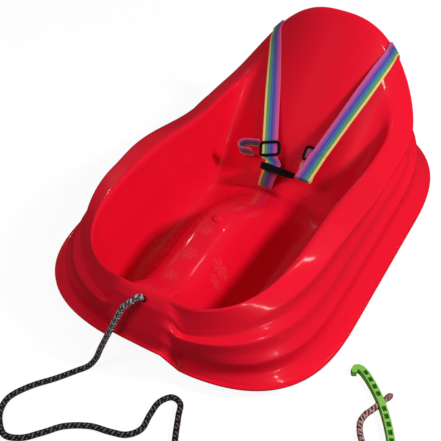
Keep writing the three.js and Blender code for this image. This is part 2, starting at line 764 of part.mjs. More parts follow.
// The short strap from the plug up to the back of the right adjuster
const plugStrapEnd = new THREE.Vector3(45, 104.5, 75);
function plugStrap() {
  const start = socketRight + seatGap + plugLength + seatGap;
  const from = onBuckle(start, buckleMiddle, 0);
  const middles = [from, onBuckle(start + webThickness, buckleMiddle, 0)];
  const guides = [buckleRear, buckleRear];
  const away = acrossSled.clone().negate();
  for (let i = 1; i <= runSteps; i += 1) {
    const share = i / runSteps;
    middles.push(middles[1].clone().lerp(plugStrapEnd, share));
    guides.push(buckleRear.clone().lerp(away, smooth(0, 1, share)).normalize());
  }
  return band(bandStops(middles, guides), webWidth, webThickness);
}

// A rivet through strap and wall, with its washer, outwards from a wall's face
const rivetTailRadius = 5;
const rivetTailHeight = 1.5;

function rivet(place, axis) {
  const inner = -(wall + seatGap);
  const outer = washerLift + washerThickness + seatGap;
  return placed(turned([
    [0, inner - rivetTailHeight], [rivetTailRadius, inner - rivetTailHeight], [rivetTailRadius, inner],
    [rivetRadius, inner], [rivetRadius, outer], [rivetHeadRadius, outer],
    [rivetHeadRadius * 0.7, outer + rivetHeadHeight], [0, outer + rivetHeadHeight],
  ]), place, axis);
}

function washer(place, axis) {
  const inner = rivetRadius + seatGap;
  const top = washerLift + washerThickness;
  return placed(turned([
    [inner, washerLift], [washerRadius, washerLift], [washerRadius, top], [inner, top], [inner, washerLift],
  ]), place, axis);
}

// The rope's way: out of the hole at the nose, down past the lip, along the ground
const ropeHole = surfaceAt(1, 0, 4.5);
const ropePoints = [
  [-5, -307, 128], [-14, -314, 118], [-23, -321, 95], [-33, -328, 67], [-43, -334, 39], [-50, -340, 17],
  [-57, -348, 6.5], [-67, -361, 4.4], [-83, -384, 4.4], [-104, -411, 4.4], [-115, -436, 4.4],
  [-112, -453, 4.4], [-102, -467, 4.4], [-84, -478, 4.4], [-64, -471, 4.4], [-47, -453, 4.4],
  [-29, -432, 4.4], [-2, -416, 4.4], [23, -410, 4.4], [43, -403, 4.4], [54, -388, 4.4],
  [52, -366, 4.4], [52, -345, 4.4], [62, -331, 4.4], [75, -333, 4.4], [84, -351, 4.4], [98, -380, 4.4],
  [113, -402, 4.4], [137, -415, 4.4], [166, -417, 4.4], [200, -405, 4.4], [235, -382, 4.4],
  [264, -352, 4.4], [284, -322, 4.4], [296, -294, 4.4], [294.5, -271, 4.4], [285.5, -256.5, 4.4],
  [280.5, -243, 4.5], [282, -229.5, 4.7],
];
const handleMiddle = new THREE.Vector3(292.2, -205, 4.9);
const ropeThrough = new THREE.Vector3(0.366, 0.93, 0).normalize();
const handleAxis = new THREE.Vector3(0.656, -0.755, 0).normalize();
const handleAcross = new THREE.Vector3(0, 0, 1).cross(handleAxis).normalize();
const knotRadius = 7;
const knotShares = [
  [0, -0.94], [0.45, -0.86], [0.82, -0.55], [0.9, -0.2], [0.78, 0], [0.9, 0.2], [0.82, 0.55], [0.45, 0.86], [0, 0.94],
];
const endKnotRadius = 4.6;
const endKnotShares = [
  [0, 0], [0.6, 0], [0.85, 0.5], [0.95, 1], [0.84, 1.35], [0.9, 1.7], [0.7, 2.2], [0.35, 2.65], [0, 2.8],
];
const knotGap = 0.4;
const stopKnotInset = 7.5;
const stopKnotDrop = 10.5;
const stopKnotPlace = ropeHole.point.clone().add(new THREE.Vector3(0, stopKnotInset, -stopKnotDrop));
const ropeOut = ropeHole.point.clone().sub(stopKnotPlace).normalize();
const ropeSides = 10;
const ropeSteps = 78;

const knot = (place, axis, shares, radius) => (
  placed(turned(shares.map(([r, z]) => [r * radius, z * radius]), 12), place, axis)
);

function ropeCurve() {
  const knotEnd = knotRadius * knotShares[knotShares.length - 1][1] + knotGap;
  const start = stopKnotPlace.clone().addScaledVector(ropeOut, knotEnd);
  const outside = ropeHole.point.clone().addScaledVector(ropeOut, ropeDiameter * 0.9);
  const end = handleMiddle.clone().addScaledVector(ropeThrough, handleWidth - knotGap);
  const before = handleMiddle.clone().addScaledVector(ropeThrough, -handleWidth);
  const earlier = before.clone().addScaledVector(ropeThrough, -ropeDiameter);
  const through = ropePoints.map((point) => new THREE.Vector3(...point));
  const points = [start, outside, ...through, earlier, before, end];
  return { curve: new THREE.CatmullRomCurve3(points, false, 'centripetal'), end };
}

const rope = ropeCurve();

function ropeTube() {
  const section = new THREE.Shape();
  for (let i = 0; i < ropeSides; i += 1) {
    const angle = (i / ropeSides) * 2 * Math.PI;
    const [x, y] = [Math.cos(angle), Math.sin(angle)].map((v) => v * ropeDiameter / 2);
    if (i === 0) section.moveTo(x, y);
    else section.lineTo(x, y);
  }
  section.closePath();
  return new THREE.ExtrudeGeometry(section, { steps: ropeSteps, extrudePath: rope.curve, bevelEnabled: false });
}

// The handle: a gently bowed bar with a hook at each end and a row of pockets.
// Half of its middle line, from the middle to the hook's tip, with half widths
const handleLineShares = [
  [0, 0, 1], [0.2, -0.008, 1], [0.38, -0.026, 1], [0.55, -0.052, 1], [0.68, -0.078, 1], [0.79, -0.108, 1],
  [0.88, -0.15, 0.95], [0.925, -0.205, 0.9], [0.93, -0.265, 0.9], [0.88, -0.315, 0.9], [0.8, -0.33, 0.7],
];
const pocketsBefore = 4;
const pocketsAfter = 5;
const pocketPitch = 11;
const pocketLength = 7;
const pocketWidth = 5.4;
const pocketDepth = 1.4;
const handleFloor = 0.4;

function handleOutline() {
  const line = [...handleLineShares].reverse().map(([x, y, w]) => [-x, y, w]);
  line.push(...handleLineShares.slice(1));
  const middles = line.map(([x, y]) => (
    new THREE.Vector2(x, y).multiplyScalar(x < 0 ? handleReach : handleFarReach)
  ));
  const sides = [1, -1].map((side) => middles.map((middle, i) => {
    const before = middles[Math.max(i - 1, 0)];
    const after = middles[Math.min(i + 1, middles.length - 1)];
    const ahead = after.clone().sub(before).normalize();
    const half = side * line[i][2] * handleWidth / 2;
    return middle.clone().add(new THREE.Vector2(-ahead.y, ahead.x).multiplyScalar(half));
  }));
  return new THREE.Shape([...sides[1], ...sides[0].reverse()]);
}

// How far the handle's middle line is bowed at a place along it
function handleBow(x) {
  const reach = x < 0 ? handleReach : handleFarReach;
  const share = Math.abs(x) / reach;
  const after = handleLineShares.findIndex(([place]) => place > share);
  const [[from, fromBow], [to, toBow]] = [handleLineShares[after - 1], handleLineShares[after]];
  return reach * mix(fromBow, toBow, (share - from) / (to - from));
}

function pullHandle() {
  const body = new THREE.ExtrudeGeometry(handleOutline(), { depth: handleTall, bevelEnabled: false });
  const cutters = [];
  for (let i = -pocketsBefore; i <= pocketsAfter; i += 1) {
    const x = i * pocketPitch;
    const slope = Math.atan2(handleBow(x + 1) - handleBow(x - 1), 2);
    const pocket = box(pocketLength, pocketWidth, 2 * pocketDepth).rotateZ(slope);
    if (i !== 0) cutters.push(pocket.translate(x, handleBow(x), handleTall));
  }
  const holeAxis = new THREE.Vector3(ropeThrough.dot(handleAxis), ropeThrough.dot(handleAcross), 0);
  const holeHeight = handleMiddle.z - handleFloor;
  const ropeWay = rod(new THREE.Vector3(0, 0, holeHeight), holeAxis, ropeDiameter / 2 + seatGap * 1.2, 4 * handleWidth);
  const base = new THREE.Vector3(handleMiddle.x, handleMiddle.y, handleFloor);
  return framed(cutFrom(body, ...cutters, ropeWay), base, handleAxis, handleAcross, new THREE.Vector3(0, 0, 1));
}

// The moulded button in front of the buckle, where the hump is highest
const pommelPlace = -112;
const pommelSink = 1.6;

function pommel() {
  const height = humpHeight * curveAt(crestLineShares, pommelPlace / (sledLength / 2));
  const profile = [[0, -pommelSink], [pommelRadius, -pommelSink], [pommelRadius, pommelHeight * 0.45]];
  for (let i = 1; i <= 5; i += 1) {
    const angle = i / 5 * Math.PI / 2;
    profile.push([pommelRadius * Math.cos(angle), pommelHeight * (0.45 + 0.55 * Math.sin(angle))]);
  }
  profile[profile.length - 1][0] = 0;
  return placed(turned(profile), new THREE.Vector3(0, pommelPlace, height), new THREE.Vector3(0, 0, 1));
}

const sled = new THREE.Group();

function addPiece(name, geometry, material) {
  const mesh = new THREE.Mesh(geometry, material);
  mesh.name = name;
  sled.add(mesh);
}

const ropeHoleCutter = rod(ropeHole.point, ropeOut, ropeHoleRadius, 2 * cutOverrun);
const shell = cutFrom(
  joinAll(shellSkin(), pommel()), ropeHoleCutter, creaseSlotCutter(), leftStrap.hole, rightStrap.hole, crotch.hole,
);
addPiece('sled_shell', shell, red);

addPiece('left_shoulder_strap', leftStrap.strap, webbing);
addPiece('right_shoulder_strap', rightStrap.strap, webbing);
addPiece('crotch_strap', crotch.strap, webbing);
addPiece('left_strap_tail', strapTail(), webbing);
addPiece('right_buckle_strap', plugStrap(), webbing);
addPiece('left_adjuster', leftAdjuster.frame, black);
addPiece('right_adjuster', rightAdjuster.frame, black);
addPiece('buckle_socket', buckleSocket(), black);
addPiece('buckle_plug', bucklePlug(), black);
addPiece('front_release_arm', releaseArm(-1), black);
addPiece('rear_release_arm', releaseArm(1), black);

[['left_strap', leftStrap.anchor], ['right_strap', rightStrap.anchor]].forEach(([name, { point, normal }]) => {
  addPiece(`${name}_rivet`, rivet(point, normal), steel);
  addPiece(`${name}_washer`, washer(point, normal), steel);
});
const crotchWall = crotch.anchor.point.clone().addScaledVector(crotch.anchor.normal, -wall);
const crotchAxis = crotch.anchor.normal.clone().negate();
addPiece('crotch_strap_rivet', rivet(crotchWall, crotchAxis), steel);
addPiece('crotch_strap_washer', washer(crotchWall, crotchAxis), steel);

addPiece('pull_rope', ropeTube(), ropeCloth);
addPiece('rope_stop_knot', knot(stopKnotPlace, ropeOut, knotShares, knotRadius), ropeCloth);
const handleKnotPlace = rope.end.clone().addScaledVector(ropeThrough, knotGap);
addPiece('handle_knot', knot(handleKnotPlace, ropeThrough, endKnotShares, endKnotRadius), ropeCloth);
addPiece('pull_handle', pullHandle(), green);

export default sled;
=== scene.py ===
# A baby pull sled, dressed for the photograph: a glossy red moulded tub with a high
# back, a rainbow webbing harness, and a braided pull rope with a ribbed green handle.
# Metres, +Z up, the nose towards -Y.
import math
from functools import lru_cache

import bmesh
import bpy
from mathutils import Matrix, Vector


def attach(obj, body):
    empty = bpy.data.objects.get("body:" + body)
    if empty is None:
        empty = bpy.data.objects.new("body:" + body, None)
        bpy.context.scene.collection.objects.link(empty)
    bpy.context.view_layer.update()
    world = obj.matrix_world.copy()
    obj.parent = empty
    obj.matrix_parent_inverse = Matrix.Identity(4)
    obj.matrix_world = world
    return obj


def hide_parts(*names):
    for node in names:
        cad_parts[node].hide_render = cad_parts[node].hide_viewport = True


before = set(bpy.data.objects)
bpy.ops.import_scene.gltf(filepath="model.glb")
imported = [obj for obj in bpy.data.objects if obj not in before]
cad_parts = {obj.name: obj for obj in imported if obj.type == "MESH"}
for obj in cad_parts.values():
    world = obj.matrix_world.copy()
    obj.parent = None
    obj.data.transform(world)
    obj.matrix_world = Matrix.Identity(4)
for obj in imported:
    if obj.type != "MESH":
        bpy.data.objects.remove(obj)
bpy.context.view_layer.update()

# The camera stands to the front right of the sled, a little over forty degrees up,
# and takes in the whole tub with the rope running out of the picture at the bottom.
view_turn = math.radians(30)
view_rise = math.radians(44)
view_roll = math.radians(0.5)
view_target = Vector((-0.019, -0.0725, 0.060))
view_distance = 1.1
view_lens = 752 / 441 * 36

towards_camera = Vector((math.sin(view_turn) * math.cos(view_rise),
                         -math.cos(view_turn) * math.cos(view_rise), math.sin(view_rise)))
level_right = Vector((math.cos(view_turn), math.sin(view_turn), 0))
level_up = towards_camera.cross(level_right)
camera_right = level_right * math.cos(view_roll) + level_up * math.sin(view_roll)
camera_up = level_up * math.cos(view_roll) - level_right * math.sin(view_roll)
camera_data = bpy.data.cameras.new("camera")
camera_data.lens = view_lens
camera_data.sensor_width = 36
camera_data.clip_start = 0.01
camera = bpy.data.objects.new("camera", camera_data)
bpy.context.scene.collection.objects.link(camera)
camera_turn = Matrix((camera_right, camera_up, towards_camera)).transposed().to_4x4()
camera.matrix_world = Matrix.Translation(view_target + towards_camera * view_distance) @ camera_turn
bpy.context.scene.camera = camera

# The pull rope: a metre of limp eight-millimetre braid. It is knotted behind the
# hole in the nose, drops to the ground, lies there in loose curves and runs through
# the handle to a small end knot. Dark braid with pale flecks, paler at the handle.
rope_diameter = 0.008
rope_steps = 1400
rope_sides = 20
rope_braid_pitch = 0.0028
rope_exit = Vector((0, -0.297, 0.12575))
stop_knot_place = rope_exit + Vector((0, 0.0075, -0.0105))
rope_out = (rope_exit - stop_knot_place).normalized()
knot_radius = 0.007
knot_gap = 0.0004
handle_middle = Vector((0.2922, -0.205, 0.0049))
handle_width = 0.0088
rope_through = Vector((0.366, 0.93, 0)).normalized()
rope_lie = [
    (-0.005, -0.307, 0.128), (-0.014, -0.314, 0.118), (-0.023, -0.321, 0.095), (-0.033, -0.328, 0.067),
    (-0.043, -0.334, 0.039), (-0.050, -0.340, 0.017), (-0.057, -0.348, 0.0065), (-0.067, -0.361, 0.0044),
    (-0.083, -0.384, 0.0044), (-0.104, -0.411, 0.0044), (-0.115, -0.436, 0.0044), (-0.112, -0.453, 0.0044),
    (-0.102, -0.467, 0.0044), (-0.084, -0.478, 0.0044), (-0.064, -0.471, 0.0044), (-0.047, -0.453, 0.0044),
    (-0.029, -0.432, 0.0044), (-0.002, -0.416, 0.0044), (0.023, -0.410, 0.0044), (0.043, -0.403, 0.0044),
    (0.054, -0.388, 0.0044), (0.052, -0.366, 0.0044), (0.052, -0.345, 0.0044), (0.062, -0.331, 0.0044),
    (0.075, -0.333, 0.0044), (0.084, -0.351, 0.0044), (0.098, -0.380, 0.0044), (0.113, -0.402, 0.0044),
    (0.137, -0.415, 0.0044), (0.166, -0.417, 0.0044), (0.200, -0.405, 0.0044), (0.235, -0.382, 0.0044),
    (0.264, -0.352, 0.0044), (0.284, -0.322, 0.0044), (0.296, -0.294, 0.0044), (0.2945, -0.271, 0.0044),
    (0.2855, -0.2565, 0.0044), (0.2805, -0.243, 0.0045), (0.282, -0.2295, 0.0047),
]


def between(points, place):
    """A smooth line through the points, at a place counted in points."""
    first = min(int(place), len(points) - 2)
    share = place - first
    a, b = points[first], points[first + 1]
    before = points[first - 1] if first else a * 2 - b
    after = points[first + 2] if first + 2 < len(points) else b * 2 - a
    steps = [max((q - p).length, 1e-9) ** 0.5 for p, q in ((before, a), (a, b), (b, after))]
    leave = (a - before) / steps[0] - (b - before) / (steps[0] + steps[1]) + (b - a) / steps[1]
    arrive = (b - a) / steps[1] - (after - a) / (steps[1] + steps[2]) + (after - b) / steps[2]
    leave, arrive = leave * steps[1], arrive * steps[1]
    return (a * (2 * share**3 - 3 * share**2 + 1) + leave * (share**3 - 2 * share**2 + share)
            + b * (3 * share**2 - 2 * share**3) + arrive * (share**3 - share**2))


def even_line(points, steps):
    """The smooth line cut into even steps, with its length."""
    fine = [between(points, i * (len(points) - 1) / 4000) for i in range(4001)]
    reach = [0.0]
    for p, q in zip(fine, fine[1:]):
        reach.append(reach[-1] + (q - p).length)
    line, i = [], 0
    for step in range(steps + 1):
        wanted = reach[-1] * step / steps
        while i < 3999 and reach[i + 1] < wanted:
            i += 1
        share = (wanted - reach[i]) / max(reach[i + 1] - reach[i], 1e-12)
        line.append(fine[i].lerp(fine[i + 1], min(max(share, 0), 1)))
    return line, reach[-1]


def laid(columns, rows, place, uv_size=(1, 1)):
    """A grid of columns by rows faces, laid where place(along, across) says."""
    sheet = bmesh.new()
    uv = sheet.loops.layers.uv.new("UVMap")
    bmesh.ops.create_grid(sheet, x_segments=columns, y_segments=rows, size=0.5)
    for face in sheet.faces:
        for loop in face.loops:
            co = loop.vert.co
            loop[uv].uv = ((co.x + 0.5) * uv_size[0], (co.y + 0.5) * uv_size[1])
    for vert in sheet.verts:
        vert.co = place(round((vert.co.x + 0.5) * columns), round((vert.co.y + 0.5) * rows))
    bmesh.ops.remove_doubles(sheet, verts=sheet.verts, dist=1e-6)
    return sheet


def finish_piece(name, sheet, material, body, smooth=True):
    """Turns a bmesh into a named piece that rides on a body."""
    for face in sheet.faces:
        face.smooth = smooth
    mesh = bpy.data.meshes.new(name)
    sheet.to_mesh(mesh)
    sheet.free()
    mesh.materials.append(material)
    piece = bpy.data.objects.new(name, mesh)
    bpy.context.scene.collection.objects.link(piece)
    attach(piece, body)
    return piece


def node_tree(name, colour, roughness, **sockets):
    """A new material with its Principled BSDF set to plain values."""
    material = bpy.data.materials.new(name)
    material.use_nodes = True
    shader = material.node_tree.nodes["Principled BSDF"]
    shader.inputs["Base Color"].default_value = (*colour, 1)
    shader.inputs["Roughness"].default_value = roughness
    for socket, value in sockets.items():
        shader.inputs[socket.replace("_", " ")].default_value = value
    return material, material.node_tree, shader


def maths(tree, operation, *values, clamp=False):
    """One Math node: each value is a number or another node's output."""
    node = tree.nodes.new("ShaderNodeMath")
    node.operation = operation
    node.use_clamp = clamp
    for socket, value in zip(node.inputs, values):
        if isinstance(value, (int, float)):
            socket.default_value = value
        else:
            tree.links.new(value, socket)
    return node.outputs[0]


def group(name, inputs, outputs):
    """An empty shader node group with named number inputs and outputs."""
    tree = bpy.data.node_groups.new(name, "ShaderNodeTree")
    for label, kind, value in inputs:
        socket = tree.interface.new_socket(name=label, in_out="INPUT", socket_type=kind)
        if value is not None:
            socket.default_value = value
    for label, kind in outputs:
        tree.interface.new_socket(name=label, in_out="OUTPUT", socket_type=kind)
    return tree, tree.nodes.new("NodeGroupInput").outputs, tree.nodes.new("NodeGroupOutput").inputs


def use_group(tree, made, **values):
    """Places a node group and sets or links its inputs."""
    node = tree.nodes.new("ShaderNodeGroup")
    node.node_tree = made
    for label, value in values.items():
        socket = node.inputs[label.replace("_", " ")]
        if isinstance(value, (int, float, tuple)):
            socket.default_value = value
        else:
            tree.links.new(value, socket)
    return node.outputs


def bump(tree, shader, height, distance, strength=1.0):
    """Lets a height raise the surface, in metres."""
    node = tree.nodes.new("ShaderNodeBump")
    node.inputs["Strength"].default_value = strength
    node.inputs["Distance"].default_value = distance
    tree.links.new(height, node.inputs["Height"])
    for facing in ("Normal", "Coat Normal"):
        tree.links.new(node.outputs["Normal"], shader.inputs[facing])


def colour_mix(tree, share, first, second):
    """Mixes two colours, each given as a colour or as another node's output."""
    node = tree.nodes.new("ShaderNodeMix")
    node.data_type = "RGBA"
    for socket, value in ((node.inputs[0], share), (node.inputs[6], first), (node.inputs[7], second)):
        if isinstance(value, tuple):
            socket.default_value = (*value, 1)
        elif isinstance(value, (int, float)):
            socket.default_value = value
        else:
            tree.links.new(value, socket)
    return node.outputs[2]


braid, given, put_out = group(
    "braid", [("Vector", "NodeSocketVector", None), ("Strands", "NodeSocketFloat", 5.0)],
    [("Height", "NodeSocketFloat"), ("Fleck", "NodeSocketFloat")])
split = braid.nodes.new("ShaderNodeSeparateXYZ")
braid.links.new(given["Vector"], split.inputs[0])
turns = maths(braid, "MULTIPLY", split.outputs[1], given["Strands"])
left_hand = maths(braid, "ADD", turns, split.outputs[0])
right_hand = maths(braid, "SUBTRACT", turns, split.outputs[0])
left_cell, right_cell = maths(braid, "FLOOR", left_hand), maths(braid, "FLOOR", right_hand)
parity = maths(braid, "FLOORED_MODULO", maths(braid, "ADD", left_cell, right_cell), 2.0)
round_left = maths(braid, "SINE", maths(braid, "MULTIPLY", maths(braid, "FRACT", left_hand), math.pi))
round_right = maths(braid, "SINE", maths(braid, "MULTIPLY", maths(braid, "FRACT", right_hand), math.pi))
on_top = maths(braid, "ADD", maths(braid, "MULTIPLY", round_left, parity),
               maths(braid, "MULTIPLY", round_right, maths(braid, "SUBTRACT", 1.0, parity)))
braid.links.new(on_top, put_out["Height"])
third = maths(braid, "LESS_THAN", maths(braid, "FLOORED_MODULO", left_cell, 2.0), 0.5)
other = maths(braid, "LESS_THAN", maths(braid, "FLOORED_MODULO", right_cell, 4.0), 0.5)
fleck = maths(braid, "ADD", maths(braid, "MULTIPLY", third, parity),
              maths(braid, "MULTIPLY", other, maths(braid, "SUBTRACT", 1.0, parity)))
braid.links.new(fleck, put_out["Fleck"])

rope_cloth, tree, shader = node_tree("braided_rope", (0.02, 0.02, 0.03), 0.8)
uv_map = tree.nodes.new("ShaderNodeUVMap")
uv_map.uv_map = "UVMap"
along_rope = tree.nodes.new("ShaderNodeSeparateXYZ")
tree.links.new(uv_map.outputs[0], along_rope.inputs[0])
scaled = tree.nodes.new("ShaderNodeMapping")
scaled.inputs["Scale"].default_value = (1 / rope_braid_pitch, 1, 1)
tree.links.new(uv_map.outputs[0], scaled.inputs[0])
braided = use_group(tree, braid, Vector=scaled.outputs[0])
near_handle = tree.nodes.new("ShaderNodeMapRange")
near_handle.inputs["From Min"].default_value = 0.80
near_handle.inputs["From Max"].default_value = 0.93
tree.links.new(along_rope.outputs[0], near_handle.inputs["Value"])
near_tub = tree.nodes.new("ShaderNodeMapRange")
near_tub.inputs["From Min"].default_value = 0.17
near_tub.inputs["From Max"].default_value = 0.07
tree.links.new(along_rope.outputs[0], near_tub.inputs["Value"])
faded_strand = colour_mix(tree, near_tub.outputs[0], (0.010, 0.009, 0.014), (0.10, 0.08, 0.09))
fleck_strand = colour_mix(tree, near_tub.outputs[0], (0.15, 0.12, 0.14), (0.62, 0.52, 0.53))
dark_strand = colour_mix(tree, near_handle.outputs[0], faded_strand, (0.60, 0.34, 0.31))
pale_strand = colour_mix(tree, near_handle.outputs[0], fleck_strand, (0.10, 0.04, 0.05))
shade = colour_mix(tree, braided["Fleck"], dark_strand, pale_strand)
# Painted shade: the strand colour darkens to near black where the braid's height is low, in the grooves
# between strands.
strand_colour_with_groove_shade = colour_mix(tree, maths(tree, "POWER", braided["Height"], 0.6), (0.006, 0.005, 0.008), shade)
tree.links.new(strand_colour_with_groove_shade, shader.inputs["Base Color"])
bump(tree, shader, braided["Height"], 0.0006)

knot_end = knot_radius * 0.94 + knot_gap
rope_points = [stop_knot_place + rope_out * knot_end, rope_exit + rope_out * rope_diameter * 0.9]
rope_points += [Vector(p) for p in rope_lie]
rope_points += [handle_middle - rope_through * (handle_width + rope_diameter),
                handle_middle - rope_through * handle_width,
                handle_middle + rope_through * (handle_width - knot_gap)]
rope_line, rope_reach = even_line(rope_points, rope_steps)


def tube_frames(line):
    """A way across and a way up at each point of a line, turned as little as can be."""
    across = Vector((0, 0, 1)).cross(line[1] - line[0]).normalized()
    frames = []
    for i, point in enumerate(line):
        ahead = (line[min(i + 1, len(line) - 1)] - line[max(i - 1, 0)]).normalized()
        across = (across - ahead * across.dot(ahead)).normalized()
        frames.append((across, ahead.cross(across)))
    return frames


rope_frames = tube_frames(rope_line)
rope_strands = 5


def rope_place(step, side):
    turn = side / rope_sides
    pitch = rope_reach * step / rope_steps / rope_braid_pitch
    left, right = rope_strands * turn + pitch, rope_strands * turn - pitch
    top = left if (math.floor(left) + math.floor(right)) % 2 else right
    radius = rope_diameter / 2 * (0.93 + 0.07 * math.sin(math.pi * (top % 1)))
    across, up = rope_frames[step]
    return rope_line[step] + (across * math.cos(turn * math.tau) + up * math.sin(turn * math.tau)) * radius


rope_sheet = laid(rope_steps, rope_sides, rope_place, (rope_reach, 1))
bmesh.ops.holes_fill(rope_sheet, edges=rope_sheet.edges)
bmesh.ops.recalc_face_normals(rope_sheet, faces=rope_sheet.faces)
rope = finish_piece("pull_rope_braid", rope_sheet, rope_cloth, "sled")
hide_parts("pull_rope")
for knot_name, knot_colour in (("rope_stop_knot", (0.05, 0.045, 0.055)), ("handle_knot", (0.40, 0.20, 0.18))):
    knot_cloth, tree, shader = node_tree(f"{knot_name}_cloth", knot_colour, 0.85)
    knot_weave = tree.nodes.new("ShaderNodeTexVoronoi")
    knot_weave.inputs["Scale"].default_value = 420
    knot_place = tree.nodes.new("ShaderNodeTexCoord")
    tree.links.new(knot_place.outputs["Object"], knot_weave.inputs["Vector"])
    # Painted shade: the cloth is darker near the Voronoi points, which are the low pits of the knot's bump.
    knot_colour_with_pit_shade = colour_mix(tree, knot_weave.outputs["Distance"], (0.03, 0.015, 0.02), knot_colour)
    tree.links.new(knot_colour_with_pit_shade, shader.inputs["Base Color"])
    bump(tree, shader, knot_weave.outputs["Distance"], 0.0008)
    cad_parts[knot_name].data.materials.clear()
    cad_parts[knot_name].data.materials.append(knot_cloth)

# The tub: one red moulded plastic shell, three millimetres thick, with a rolled rim,
# a stepped flange all round, a hump between the legs with a button on it, and a back
# that leans out. The rope hole goes through the rim at the nose.
sled_length, back_height, wall = 0.640, 0.241, 0.003
side_front, side_rear, floor_side_rear = -0.110, 0.105, 0.040
side_crest_bow = 0.005
nose_half_width, nose_blend = 0.038, 0.020
arch_powers = (2.6, 1.35)
hump_height, hump_half_width, seat_half_width, hump_blend = 0.105, 0.077, 0.100, 0.008
hump_power, seat_power = 3, 2
crest_line_front, crest_line_rear, crest_line_side = -0.225, 0.058, (-0.120, -0.030)
crown_height = 0.0015
side_wall_shares = [(0.07, 0.86), (0.20, 0.56), (0.38, 0.29), (0.62, 0.09)]
back_wall_shares = [(0.2, 0.795), (0.4, 0.6), (0.6, 0.405), (0.8, 0.205)]
floor_inset_shares = [0.2, 0.37, 0.5, 0.6, 0.7, 0.79, 0.87, 0.95]
hump_shares = [
    (-0.94, 1.2), (-0.865, 1.19), (-0.73, 0.96), (-0.57, 0.94), (-0.44, 0.98), (-0.35, 1), (-0.26, 0.96),
    (-0.16, 0.81), (-0.06, 0.62), (0.04, 0.42), (0.13, 0.24), (0.2, 0.12), (0.3, 0.08),
]
shell_columns, shell_rows = 260, 150
outer_rows_share = 0.55
ridge_reach = {"foot": 0.004, "fold": 0.002, "shelf": 0.0022, "crest": 0.0028}
band_hollow = {"fold": 0.0110, "shelf": 0.0030, "crest": 0.0045}
button_radius, button_height, button_y = 0.008, 0.005, -0.112


def mix(a, b, share):
    return a + (b - a) * share


def ease(low, high, value):
    """A smooth step from 0 at low to 1 at high."""
    share = min(max((value - low) / (high - low), 0), 1)
    return share * share * (3 - 2 * share)


def curve_at(shares, place):
    """A smooth curve through (place, value) pairs."""
    if place <= shares[0][0]:
        return shares[0][1]
    if place >= shares[-1][0]:
        return shares[-1][1]
    i = max(k for k, (start, _) in enumerate(shares[:-1]) if start <= place)

    def slope(k):
        before, after = shares[max(k - 1, 0)], shares[min(k + 1, len(shares) - 1)]
        return (after[1] - before[1]) / (after[0] - before[0])

    (start, low), (end, high) = shares[i], shares[i + 1]
    span = end - start
    t = (place - start) / span
    return ((2 * t**3 - 3 * t**2 + 1) * low + (t**3 - 2 * t**2 + t) * span * slope(i)
            + (3 * t**2 - 2 * t**3) * high + (t**3 - t**2) * span * slope(i + 1))


def arch_rise(x, half_width):
    return (1 - min(abs(x) / half_width, 1) ** arch_powers[0]) ** arch_powers[1]


def side_height(front, side, side_after, rear, rear_from, rear_to):
    """A ring's height: at the nose, along the side, where the side dips, behind."""
    def height(along, x):
        level = mix(front, side, ease(0.1, 1, along))
        level = mix(level, side_after, ease(1.2, 2, along))
        return mix(level, rear, ease(rear_from, rear_to, along))
    return height


def arched_height(front, side, dip, back, half_width):
    """A ring's height where the back rises in an arch."""
    def height(along, x):
        if along > 2:
            return mix(dip, back, arch_rise(x, half_width))
        return mix(mix(front, side, ease(0.1, 1, along)), dip, ease(1.15, 2, along))
    return height


# Each ring: half width at the side and behind, reach before and behind the straight
# side, the powers of its round corners, how far the nose pushes it out and up, height
rings = {
    "lip": (0.220, 0.220, 0.196, 0.215, (3, 2.8), 0.014, 0.040,
            side_height(0.026, 0.026, 0.026, 0.036, 2, 3)),
    "foot": (0.216, 0.216, 0.192, 0.211, (3, 2.8), 0.014, 0.040,
             side_height(0.026, 0.026, 0.026, 0.036, 2, 3)),
    "fold": (0.194, 0.194, 0.190, 0.205, (3, 2.35), 0.013, 0.027,
             side_height(0.057, 0.065, 0.065, 0.092, 1.9, 2.6)),
    "shelf": (0.181, 0.179, 0.195, 0.190, (2.6, 2.25), 0.002, 0.014,
              side_height(0.088, 0.093, 0.086, 0.112, 2, 2.7)),
    "crest": (0.172, 0.171, 0.190, 0.172, (2.2, 4), 0, 0.027,
              arched_height(0.094, 0.131, 0.099, back_height, 0.171)),
    "inner": (0.138, 0.138, 0.178, 0.153, (2.9, 3.4), 0, 0.003,
              arched_height(0.129, 0.137, 0.112, 0.224, 0.138)),
    "floor": (0.097, 0.097, 0.140, 0.030, (2.6, 3.5), 0, 0, lambda along, x: wall),
}


def ring_point(name, along):
    """A point of a ring: along is 0 to 1 round the front, to 2 beside, to 3 behind."""
    side_half, rear_half, front_reach, rear_reach, powers, nose_reach, nose_lift, height = rings[name]
    rear_start = floor_side_rear if name == "floor" else side_rear
    half_width = mix(side_half, rear_half, ease(1, 2, along))
    if 1 <= along <= 2:
        bow = side_crest_bow * 4 * (along - 1) * (2 - along) if name == "crest" else 0
        x, y = half_width + bow, mix(side_front, rear_start, along - 1)
    else:
        front = along < 1
        angle = (along if front else 3 - along) * math.pi / 2
        power = powers[0 if front else 1]
        sine, cosine = math.sin(angle), max(math.cos(angle), 0)
        radius = (sine**power + cosine**power) ** (-1 / power)
        x = half_width * sine * radius
        y = side_front - front_reach * cosine * radius if front else rear_start + rear_reach * cosine * radius
    nose = 1 - ease(nose_half_width, nose_half_width + nose_blend, x) if along < 1 else 0
    return Vector((x, y - nose_reach * nose, height(along, x) + nose_lift * nose))


def raise_hump(point):
    """The hump and the crowned seat raise whatever lies below their crest."""
    place = point.y / (sled_length / 2)
    crest = hump_height * curve_at(hump_shares, place)
    seatness = ease(-0.1, 0.25, place)
    half_width = mix(hump_half_width, seat_half_width, seatness)
    power = mix(hump_power, seat_power, seatness)
    share = min(abs(point.x) / half_width, 1)
    lack = crest - point.z
    rise = (lack + math.hypot(lack, hump_blend)) / 2
    return Vector((point.x, point.y, point.z + rise * (1 - share**power) ** 2))


def crest_line(along):
    start, end = crest_line_side
    if along < 1:
        return mix(crest_line_front, start, along)
    return mix(start, end, along - 1) if along < 2 else mix(end, crest_line_rear, along - 2)


